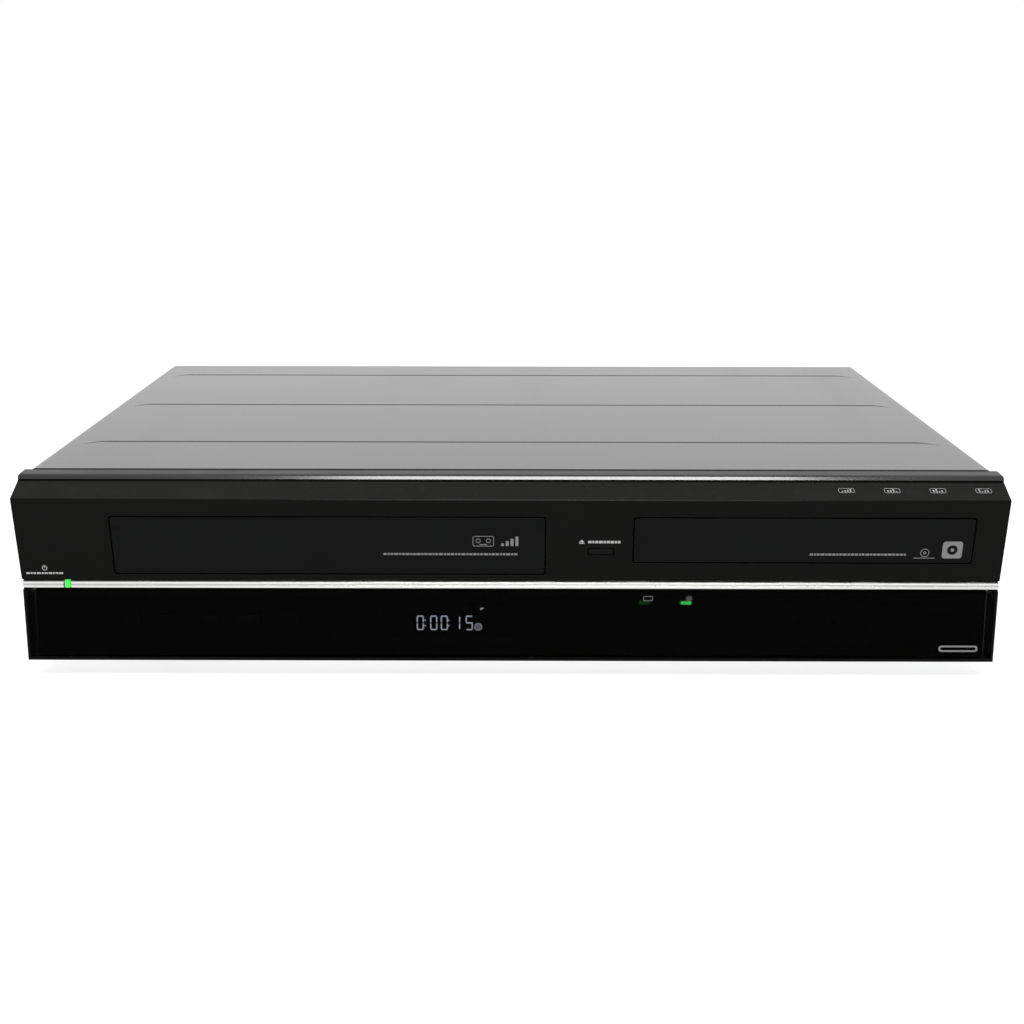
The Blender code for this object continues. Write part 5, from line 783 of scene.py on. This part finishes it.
# %% Open and close button
BUTTON = np.array((34.4, 59.7, 45.4, 62.3)) * MM
button_shapes = [
    face_cap(BUTTON, 4.5 * MM, 0.5 * MM, 0.5 * MM, stand=0.3 * MM),
    block((34.9 * MM, -173.4 * MM, 60.2 * MM), (44.9 * MM, -171.4 * MM, 61.8 * MM)),
    block((33.4 * MM, -172.2 * MM, 59.2 * MM), (46.4 * MM, -171.25 * MM, 62.8 * MM)),
    rod((39.9 * MM, -171.5 * MM, 61.0 * MM), (0, -156.8 * MM, 0), 1.2 * MM, 12),
]
open_cap = solid("open_close_cap", joined(button_shapes))
flatten_normals(open_cap)
finish_piece(open_cap, "open_button", "bezel_plastic", [cap_plastic], ["open_close_button"])

# %% [markdown]
# ## Lower door
#
# A long slab of smoked plastic that drops forward on two pins at its foot. Its foot is a half round
# about the pin line, so that it clears the lip as it turns. Looked at from the front it is a
# rectangle with rounded upper corners, so the loops here run round that outline and are stacked
# through its thickness, with a quarter circle on the front edge.

# %% Lower door
DOOR_LEAN = math.atan2(1.8, 31.6)
DOOR_FRONT, DOOR_HALF = -169.1 * MM, 216 * MM
turn = np.linspace(0, np.pi / 2, 5)
thick, edge = 3.0 * MM, 0.5 * MM
layers = [(edge * (1 - np.sin(a)), edge * (1 - np.cos(a))) for a in turn]
layers += [(edge * (1 - np.cos(a)), thick - edge * (1 - np.sin(a))) for a in turn]
loops = []
for inset, depth in layers:
    half = DOOR_HALF - inset
    top = corner_loop(-half, DOOR_AXIS_Z, half, 41.9 * MM - inset, 5 * MM - inset, 10)
    low_side = top[:, 1] < 17 * MM
    foot_line = np.stack([np.sign(top[:, 0]) * half, np.full(len(top), DOOR_AXIS_Z)], 1)
    ring = np.where(low_side[:, None], foot_line, top)
    lean = (ring[:, 1] - DOOR_AXIS_Z) * math.tan(DOOR_LEAN)
    loops.append(np.stack([ring[:, 0], DOOR_FRONT - lean + depth, ring[:, 1]], 1))
foot = np.array([(0, -216), (1.2, -216), (1.5, -215.7), (1.5, 215.7), (1.2, 216), (0, 216)]) * MM
print("lower door leans", round(math.degrees(DOOR_LEAN), 2), "degrees")
door = solid("smoked_door", loft(loops))
pins = [cross_rod(a * MM, b * MM, DOOR_AXIS_Y, DOOR_AXIS_Z, 0.8 * MM) for a, b in ((-217, -213), (213, 217))]
combine(door, "UNION", [turned(foot, (0, DOOR_AXIS_Y, DOOR_AXIS_Z), "x", 32)] + pins)
flatten_normals(door)
finish_piece(door, "door", "smoked_plastic", [smoked_plastic], ["lower_door"])

# %% [markdown]
# ## Sheet-metal cover
#
# The cover is one sheet bent down at both sides, with three lines pressed across it that hook
# forward at their ends and stiffen it. As a surface it is a grid: columns follow the bent section
# and rows run from front to back, with extra rows where a line is. The rows themselves bend forward
# with the hooks, so each line stays on its own rows, and its depth is a cosine dip across them.

# %% Pressed lines as a formula
LINE_Y = np.array([-89.2, 22.8, 134.8]) * MM
LINE_HALF, LINE_DEPTH = 1.5 * MM, 0.9 * MM
HOOK_START, HOOK_LENGTH, HOOK_DEPTH = 196.0 * MM, 9.5 * MM, 7.0 * MM


def hook(x):
    """How far a line has turned forward at x: nothing along the middle, then growing as the square
    of the way along the hook."""
    return HOOK_DEPTH * np.clip((np.abs(x) - HOOK_START) / HOOK_LENGTH, 0, 1) ** 2


def pressed_share(x, y):
    """1 at the bottom of a line and 0 outside it: half of (1 + cos) across the line's width, which
    narrows to a point along the hook."""
    way = np.clip((np.abs(x) - HOOK_START) / HOOK_LENGTH, 0, 1)
    half = LINE_HALF * np.maximum(1 - way ** 1.5, 0.02)
    off = np.abs(y + hook(x) - LINE_Y.reshape(-1, *([1] * np.ndim(x)))).min(0)
    return np.where(way < 1, 0.5 * (1 + np.cos(np.pi * np.clip(off / half, 0, 1))), 0.0)


# %% The cover's grid
COVER_X, COVER_LOW, COVER_TOP, BEND = 215.5 * MM, 9.6 * MM, 94.2 * MM, 2.5 * MM
COVER_FRONT, COVER_REAR, SHEET = -155.7 * MM, 174.5 * MM, 1.0 * MM
turn = np.linspace(np.pi, np.pi / 2, 8)
side = np.stack([np.full(5, -COVER_X), np.linspace(COVER_LOW, COVER_TOP - BEND, 6)[:5]], 1)
arc = np.stack([-COVER_X + BEND + BEND * np.cos(turn), COVER_TOP - BEND + BEND * np.sin(turn)], 1)
columns = [np.linspace(-211, -207, 3), np.linspace(-206.2, -195, 30), np.linspace(-188, 0, 17)]
columns = np.concatenate(columns) * MM
left_half = np.concatenate([side, arc, np.stack([columns, np.full(len(columns), COVER_TOP)], 1)])
section = np.concatenate([left_half, (left_half * (-1, 1))[-2::-1]])
near_lines = (LINE_Y[:, None] + np.linspace(-1.8, 1.8, 17)[None, :] * MM).ravel()
between = np.linspace(COVER_FRONT, COVER_REAR, 40)
between = between[np.abs(between[:, None] - LINE_Y[None]).min(1) > 2.6 * MM]
rows = np.sort(np.concatenate([near_lines, between]))
near = np.clip(1 - (np.abs(rows[:, None] - LINE_Y[None]).min(1) - 3 * MM) / (35 * MM), 0, 1)
X = np.broadcast_to(section[:, 0][:, None], (len(section), len(rows)))
Y = rows[None, :] - hook(X) * (near ** 2)[None, :]
Z = section[:, 1][:, None] - LINE_DEPTH * pressed_share(X, Y)
number = np.arange(X.size).reshape(X.shape)
quads = np.stack([number[:-1, :-1], number[1:, :-1], number[1:, 1:], number[:-1, 1:]], -1).reshape(-1, 4)
mesh = bpy.data.meshes.new("cover_sheet")
mesh.from_pydata(np.stack([X, Y, Z], -1).reshape(-1, 3).tolist(), [], quads.tolist())
cover = bpy.data.objects.new("cover_sheet", mesh)
bpy.context.scene.collection.objects.link(cover)
thicken = cover.modifiers.new("sheet", "SOLIDIFY")
thicken.thickness, thicken.offset = SHEET, -1.0
settle(cover)
print("cover grid:", X.shape, "points")

# %% Vents, screw holes and rear tabs
vents = []
for i in range(10):
    ring = corner_loop((143.25 - 6.5 * i) * MM, 46.2 * MM, (145.75 - 6.5 * i) * MM, 72.2 * MM, 1.24 * MM, 4)
    vents.append(loft([np.insert(ring, 0, x, axis=1) for x in (-218 * MM, 218 * MM)]))
holes = [cross_rod(-218 * MM, 218 * MM, y * MM, 18.1 * MM, 1.8 * MM) for y in (-115.7, 134.5)]
combine(cover, "DIFFERENCE", vents + holes)
tabs = [block(((x - 5) * MM, 173.5 * MM, 85.2 * MM), ((x + 5) * MM, COVER_REAR, 93.6 * MM))
        for x in (-180, -75, 75, 180)]
combine(cover, "UNION", tabs)
spots = np.empty(len(cover.data.vertices) * 3, np.float32)
cover.data.vertices.foreach_get("co", spots)
spots = spots.reshape(-1, 3)
share = pressed_share(spots[:, 0].astype(float), spots[:, 1].astype(float))
share *= spots[:, 2] > COVER_TOP - 1.4 * SHEET
# This mask also drives the painted shade in the pressed lines of the case paint.
mark = cover.data.attributes.new("pressed", "FLOAT", "POINT")
mark.data.foreach_set("value", np.clip(share * 1.6, 0, 1).astype(np.float32))
finish_piece(cover, "chassis", "case_paint", [case_paint], ["top_cover"])

# %% [markdown]
# ## Softer copies of the CAD pieces
#
# Many pieces have the right shape already and only need softer edges. Each is a copy of its CAD
# mesh: its loose triangles are merged, flat areas are dissolved back into single faces, and a Bevel
# modifier rounds every edge that is sharper than its limit.


# %% Softer copies
def softened(node_name, width, segments=2, angle=30.0, body=None, material=None):
    """A copy of a CAD piece with its edges rounded, which stands for that piece."""
    source = frame["nodes"][node_name]
    mesh = source.data.copy()
    work = bmesh.new()
    work.from_mesh(mesh)
    bmesh.ops.remove_doubles(work, verts=work.verts, dist=1e-6)
    bmesh.ops.dissolve_limit(work, angle_limit=math.radians(0.6), verts=work.verts, edges=work.edges)
    work.to_mesh(mesh)
    work.free()
    copy = bpy.data.objects.new(node_name + "_soft", mesh)
    bpy.context.scene.collection.objects.link(copy)
    mesh.shade_smooth()
    mesh.set_sharp_from_angle(angle=math.radians(35))
    round_off = copy.modifiers.new("edges", "BEVEL")
    round_off.width, round_off.segments, round_off.limit_method = width, segments, "ANGLE"
    round_off.angle_limit = math.radians(angle)
    round_off.harden_normals = True
    slot = slot_of[node_name]
    return finish_piece(copy, body or source["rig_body"], slot, [material or finish_of[slot]], [node_name])


for name in ("disc_tray", "record_key", "stop_key", "play_key", "rewind_key", "forward_key"):
    softened(name, 0.25 * MM)
for name in ("control_deck", "rear_sockets", "aerial_sockets", "mains_inlet", "front_sockets", "fan_frame"):
    softened(name, 0.15 * MM)
corners = [f"{end}_{side}" for end in ("front", "rear") for side in ("left", "right")]
for corner in corners:
    softened("foot_" + corner, 0.6 * MM, 3)
    softened("cover_screw_" + corner, 0.3 * MM, 3)

# %% [markdown]
# ## Printed marks
#
# The marks are thin films of ink on the mouldings. Each one starts as a flat outline, here in
# millimetres because marks are small, and a place function sets it on its surface: the leaning face,
# the sloping top or the smoked door. All of them are plain pictures and rows of dashes, since the
# player carries no names.

# %% Flat outlines
def bar(left, low, width, height):
    """A small rectangle with slightly rounded corners."""
    return corner_loop(left, low, left + width, low + height, 0.2 * min(width, height), 2)


def disc(x, z, radius, corners=24):
    """Points at the radius times (cos, sin) of evenly spaced angles."""
    angle = np.arange(corners) * 2 * np.pi / corners
    return np.stack([x + radius * np.cos(angle), z + radius * np.sin(angle)], -1)


def hoop(x, z, radius, line):
    return disc(x, z, radius), disc(x, z, radius - line)


def box_line(left, low, right, high, corner, line):
    """A rounded frame: an outline and a smaller one inside it."""
    inner = corner_loop(left + line, low + line, right - line, high - line, corner - line, 4)
    return corner_loop(left, low, right, high, corner, 4), inner


def arrow(x, z, half, height, turn=0.0):
    """A triangle that points up and is turned about its middle by an angle."""
    flat = np.array([(-half, -height / 2), (half, -height / 2), (0, height / 2)])
    spin = np.array([(math.cos(turn), -math.sin(turn)), (math.sin(turn), math.cos(turn))])
    return flat @ spin.T + (x, z)


def dashes(left, right, low, height, widths=(1.5, 0.9, 1.2, 1.8, 1.0, 1.4)):
    """A row of short bars that stands for a line of print; the widths repeat until the row is full."""
    size = np.resize(np.array(widths), int((right - left) / min(widths)))
    starts = left + np.concatenate([[0], np.cumsum(size + 0.35)[:-1]])
    keep = starts + size <= right
    return [bar(x, low, w, height) for x, w in zip(starts[keep], size[keep])]


# %% Setting an outline on a surface
def on_face(flat, depth):
    return np.stack([flat[:, 0], face_depth(flat[:, 1]) + depth, flat[:, 1]], 1)


def on_slope(flat, depth):
    """On the sloping top, where the second direction of the outline runs back along Y."""
    share = (flat[:, 1] - BROW[0] * MM) / (14 * MM)
    return np.stack([flat[:, 0], flat[:, 1], BROW[1] * MM + share * 5.5 * MM - depth], 1)


def on_door(flat, depth):
    lean = (flat[:, 1] - DOOR_AXIS_Z) * math.tan(DOOR_LEAN)
    return np.stack([flat[:, 0], DOOR_FRONT - lean + depth, flat[:, 1]], 1)


def upright(y):
    """A place function for an upright plane at a given Y."""
    def place(flat, depth):
        return np.stack([flat[:, 0], np.full(len(flat), y + depth), flat[:, 1]], 1)
    return place


def film(flat, place, lift=0.03 * MM, sink=0.05 * MM):
    """A print from an outline, or from a pair of outlines for a ring: it stands out by the lift and
    reaches into the surface by the sink."""
    if not isinstance(flat, tuple):
        return loft([place(flat * MM, sink), place(flat * MM, -lift)])
    outer, inner = flat[0] * MM, flat[1] * MM
    loops = np.array([place(outer, sink), place(outer, -lift), place(inner, -lift), place(inner, sink)])
    count, size = loops.shape[:2]
    here = np.arange(size)
    after = (here + 1) % size
    quads = []
    for i in range(count):
        j = (i + 1) % count
        quads += np.stack([i * size + here, i * size + after, j * size + after, j * size + here], -1).tolist()
    return loops.reshape(-1, 3), quads


def print_marks(name, flats, place, body, slot, material):
    thing = solid(name, joined([film(flat, place) for flat in flats]))
    return finish_piece(thing, body, slot, [material])


# %% Marks on the face, the slope, the flap and the tray
switch_x, switch_z = -206.6, 52.6
print_marks("switch_marks", [
    hoop(switch_x, switch_z, 1.2, 0.3), bar(switch_x - 0.15, switch_z, 0.3, 1.5),
    *dashes(-215.0, -198.2, 49.6, 0.9),
], on_face, "chassis", "bezel_plastic", pale_ink)
print_marks("eject_marks", [
    arrow(31.4, 66.3, 1.2, 1.2), bar(30.2, 65.0, 2.4, 0.4),
    *dashes(34.2, 49.6, 65.2, 1.2),
], on_face, "chassis", "bezel_plastic", pale_ink)
slope_marks = []
for i, x in enumerate((143.5, 163.5, 183.5, 203.5)):
    slope_marks += [box_line(x, -176.6, x + 7, -173.2, 0.9, 0.25)]
    slope_marks += [bar(x + 1.3 + 1.2 * k, -176.0, 0.7, 0.8 + 0.5 * ((k + i) % 4))
                    for k in range(4)]
print_marks("slope_marks", slope_marks, on_slope, "chassis", "bezel_plastic", grey_ink)
print_marks("flap_marks", [
    box_line(-16.6, 63.6, -7.2, 68.6, 1, 0.3),
    hoop(-14.2, 66.3, 1.1, 0.3), hoop(-9.6, 66.3, 1.1, 0.3),
    bar(-13.6, 64.3, 3.4, 0.4),
    *[bar(-4.1 + 2.1 * k, 63.8, 1.3, 1.3 + 1.1 * k) for k in range(4)],
], on_face, "flap", "bezel_plastic", grey_ink)
print_marks("flap_print", dashes(-56, 3.6, 59.3, 1.0), on_face, "flap", "bezel_plastic", grey_ink)
print_marks("tray_marks", [
    *dashes(132, 175.0, 59.5, 1.0),
    hoop(182.6, 60.9, 2.0, 0.3), hoop(182.6, 60.9, 0.7, 0.3),
    bar(178.0, 58.2, 9.2, 0.3),
    (corner_loop(190.2, 58.2, 199.0, 66.4, 1.4, 5), corner_loop(192.3, 60.0, 196.9, 64.6, 2.2, 5)),
    disc(194.6, 62.3, 0.8),
], on_face, "tray", "bezel_plastic", grey_ink)

# %% Marks behind the door, on it and on the keys
print_marks("door_marks", [
    box_line(59.4, 37.3, 63.6, 39.5, 0.5, 0.2),
    hoop(79.8, 38.4, 1.2, 0.2), disc(79.8, 38.4, 0.35),
    (corner_loop(192.6, 13.4, 210.2, 16.4, 1.4, 5), corner_loop(193.5, 14.2, 209.3, 15.6, 0.6, 5)),
], on_door, "door", "smoked_plastic", grey_ink)
key_front, key_z = upright(-164.8 * MM), 26.5
key_flats = {
    "record_key": [disc(-172, key_z, 1.1)],
    "stop_key": [bar(-155, key_z - 1, 2, 2)],
    "play_key": [arrow(-136, key_z, 1.2, 2.0, -math.pi / 2)],
    "rewind_key": [arrow(x, key_z, 1.0, 1.5, math.pi / 2) for x in (-118.9, -117.2)],
    "forward_key": [arrow(x, key_z, 1.0, 1.5, -math.pi / 2) for x in (-100.8, -99.1)],
}
for name, flats in key_flats.items():
    print_marks(name + "_mark", flats, key_front, frame["nodes"][name]["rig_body"], slot_of[name], pale_ink)

# %% [markdown]
# ## The lit display, the mode light and the sockets
#
# The display is a row of seven-segment digits, each a handful of bars, and only the lit bars are
# made. The mode light is a short green bar in three parts. At the back, a coloured collar on each
# socket tells the signals apart, as on any player.

# %% Lit segments
SEGMENTS = {"0": "abcdef", "1": "bc", "5": "acdfg"}


def digit(sign, x, z, width, height, line):
    """The lit bars of one seven-segment digit whose lower left corner is at (x, z)."""
    long, half = width - line, (height - line) / 2
    flats = {
        "a": (x + line / 2, z + height - line, long, line), "d": (x + line / 2, z, long, line),
        "g": (x + line / 2, z + half, long, line), "c": (x + long, z + line, line, half - line),
        "b": (x + long, z + half + line, line, half - line), "e": (x, z + line, line, half - line),
        "f": (x, z + half + line, line, half - line),
    }
    return [bar(*flats[key]) for key in SEGMENTS[sign]]


DIGIT_LOW, DIGIT_WIDTH, DIGIT_HEIGHT, DIGIT_LINE = 20.8, 3.3, 6.9, 0.6
lit = []
for sign, x in zip("00015", (-42.5, -36.4, -31.6, -26.0, -20.3)):
    lit += digit(sign, x, DIGIT_LOW, DIGIT_WIDTH, DIGIT_HEIGHT, DIGIT_LINE)
for x in (-38.9, -28.2):
    lit += [bar(x, z, DIGIT_LINE, DIGIT_LINE) for z in (22.6, 25.2)]
lit += [arrow(-12.8, 31.2, 1.0, 1.6, -math.pi / 2)]
lit += [hoop(-14.6, 22.4, 1.7, 0.4), hoop(-14.6, 22.4, 0.7, 0.25)]
print_marks("display_digits", lit, upright(-161.34 * MM), "chassis", "display_glass", digit_glow)
mode_bars = [bar(76.9 + 1.6 * k, 33.7, 1.4, 1.6) for k in range(3)]
print_marks("mode_bar", mode_bars, upright(-163.6 * MM), "chassis", "light_guide", mode_glow)

# %% Socket collars
collar_inks = [ink("collar_" + name, colour, tuple(0.8 * c for c in colour)) for name, colour in (
    ("yellow", (0.75, 0.52, 0.03)), ("white", (0.7, 0.7, 0.68)), ("red", (0.5, 0.02, 0.02)))]
JACK_FIRST, JACK_PITCH, JACK_ROWS = 64, 18, (28.2, 48.2)
COLLAR_OUTER, COLLAR_INNER, COLLAR_HALF = 4.5, 4.15, 1.0 * MM
for shade, material in enumerate(collar_inks):
    collars = []
    for x in (JACK_FIRST + JACK_PITCH * shade, JACK_FIRST + JACK_PITCH * (shade + 3)):
        for z in JACK_ROWS:
            ring = disc(x, z, COLLAR_OUTER, 32), disc(x, z, COLLAR_INNER, 32)
            collars.append(film(ring, upright(181.0 * MM), COLLAR_HALF, COLLAR_HALF))
    thing = solid("socket_collars_" + material.name.split("_")[1], joined(collars))
    finish_piece(thing, "chassis", "dark_plastic", [material])

# %% [markdown]
# ## The stage
#
# The floor is a plain pale plane and the room is white to the camera and in reflections. Both are
# told apart from the light that falls on the player by Light Path, so the white never floods the
# object. A wide soft lamp in front gives the long thin highlights along the step and the brow.


# %% Floor
def seen_rays(tree):
    """1 for rays from the camera, mirrors and clear plastic, and 0 for diffuse light."""
    path = node(tree, "ShaderNodeLightPath")
    both = node(tree, "ShaderNodeMath", operation="MAXIMUM")
    tree.links.new(path.outputs["Is Camera Ray"], both.inputs[0])
    tree.links.new(path.outputs["Is Glossy Ray"], both.inputs[1])
    every = node(tree, "ShaderNodeMath", operation="MAXIMUM")
    tree.links.new(both.outputs[0], every.inputs[0])
    tree.links.new(path.outputs["Is Transmission Ray"], every.inputs[1])
    return every.outputs[0]


table, tree, shader, place = start_material("pale_table")
tree.nodes.remove(shader)
matt = node(tree, "ShaderNodeBsdfDiffuse", Color=(0.45, 0.45, 0.45, 1))
glow = node(tree, "ShaderNodeEmission", Color=(1, 1, 1, 1))
lift = node(tree, "ShaderNodeMath", operation="MULTIPLY")
lift.inputs[1].default_value = 0.80
tree.links.new(seen_rays(tree), lift.inputs[0])
tree.links.new(lift.outputs[0], glow.inputs["Strength"])
both = node(tree, "ShaderNodeAddShader")
tree.links.new(matt.outputs[0], both.inputs[0])
tree.links.new(glow.outputs[0], both.inputs[1])
tree.links.new(both.outputs[0], tree.nodes["Material Output"].inputs["Surface"])
floor_mesh = bpy.data.meshes.new("table_top")
floor_mesh.from_pydata([(-6, -6, 0), (6, -6, 0), (6, 6, 0), (-6, 6, 0)], [], [(0, 1, 2, 3)])
floor = bpy.data.objects.new("table_top", floor_mesh)
bpy.context.scene.collection.objects.link(floor)
floor.data.materials.append(table)
floor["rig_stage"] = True

# %% Room and lamps
world = bpy.data.worlds.new("room")
bpy.context.scene.world = world
world.use_nodes = True
tree = world.node_tree
tree.nodes.clear()
soft = node(tree, "ShaderNodeBackground", Color=(1, 1, 1, 1), Strength=0.55)
white = node(tree, "ShaderNodeBackground", Color=(1, 1, 1, 1), Strength=1.0)
pick = node(tree, "ShaderNodeMixShader")
tree.links.new(seen_rays(tree), pick.inputs[0])
tree.links.new(soft.outputs[0], pick.inputs[1])
tree.links.new(white.outputs[0], pick.inputs[2])
tree.links.new(pick.outputs[0], node(tree, "ShaderNodeOutputWorld").inputs["Surface"])


def lamp_at(name, place, target, width, height, power):
    """A rectangular lamp that looks from its place to a target."""
    data = bpy.data.lights.new(name, "AREA")
    data.shape, data.size, data.size_y, data.energy = "RECTANGLE", width, height, power
    thing = bpy.data.objects.new(name, data)
    bpy.context.scene.collection.objects.link(thing)
    aim = np.array(target, float) - np.array(place, float)
    back = -aim / np.linalg.norm(aim)
    right = np.cross((0, 0, 1), back)
    right /= np.linalg.norm(right)
    up = np.cross(back, right)
    turned_rows = np.stack([right, up, back], 1)
    thing.matrix_world = Matrix([(*row, shift) for row, shift in zip(turned_rows, place)] + [(0, 0, 0, 1)])
    return thing


lamp_at("key_lamp", (0.066, -1.15, 1.15), (0, -0.1, 0.08), 0.6, 0.3, 12.0)
lamp_at("top_lamp", (0.0, 0.1, 1.6), (0, 0, 0), 1.4, 1.0, 12.0)

# %% [markdown]
# ## Camera
#
# The camera comes from a fit of the player's known corners to their pixels: a normal lens, a little
# above the player and almost square on to it.

# %% Camera
right = (0.99999463, 0.00292802, 0.0014724)
down = (0.00208249, -0.22076642, -0.97532449)
ahead = (-0.00253071, 0.97532231, -0.22077133)
spot = (0.002627, -0.92094, 0.24772)
lens = bpy.data.cameras.new("camera")
lens.sensor_width, lens.lens = 36.0, 36.0 * 1742.47 / 1024
camera = bpy.data.objects.new("camera", lens)
bpy.context.scene.collection.objects.link(camera)
camera.matrix_world = Matrix([(right[i], -down[i], -ahead[i], spot[i]) for i in range(3)] + [(0, 0, 0, 1)])
bpy.context.scene.camera = camera
bpy.context.scene.view_settings.view_transform = "Standard"
print("camera lens", round(lens.lens, 2), "mm")

# %% [markdown]
# ## Finish
#
# Both boxes, the CAD model's and the visual model's, are printed side by side. The visual model
# has to stay inside the CAD model's size.

# %% Sizes and the end
low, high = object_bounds()
sizes = {"cad": [list(cad_low), list(cad_high)], "visual": [list(low), list(high)]}
print("CAD box", sizes["cad"], "visual box", sizes["visual"])
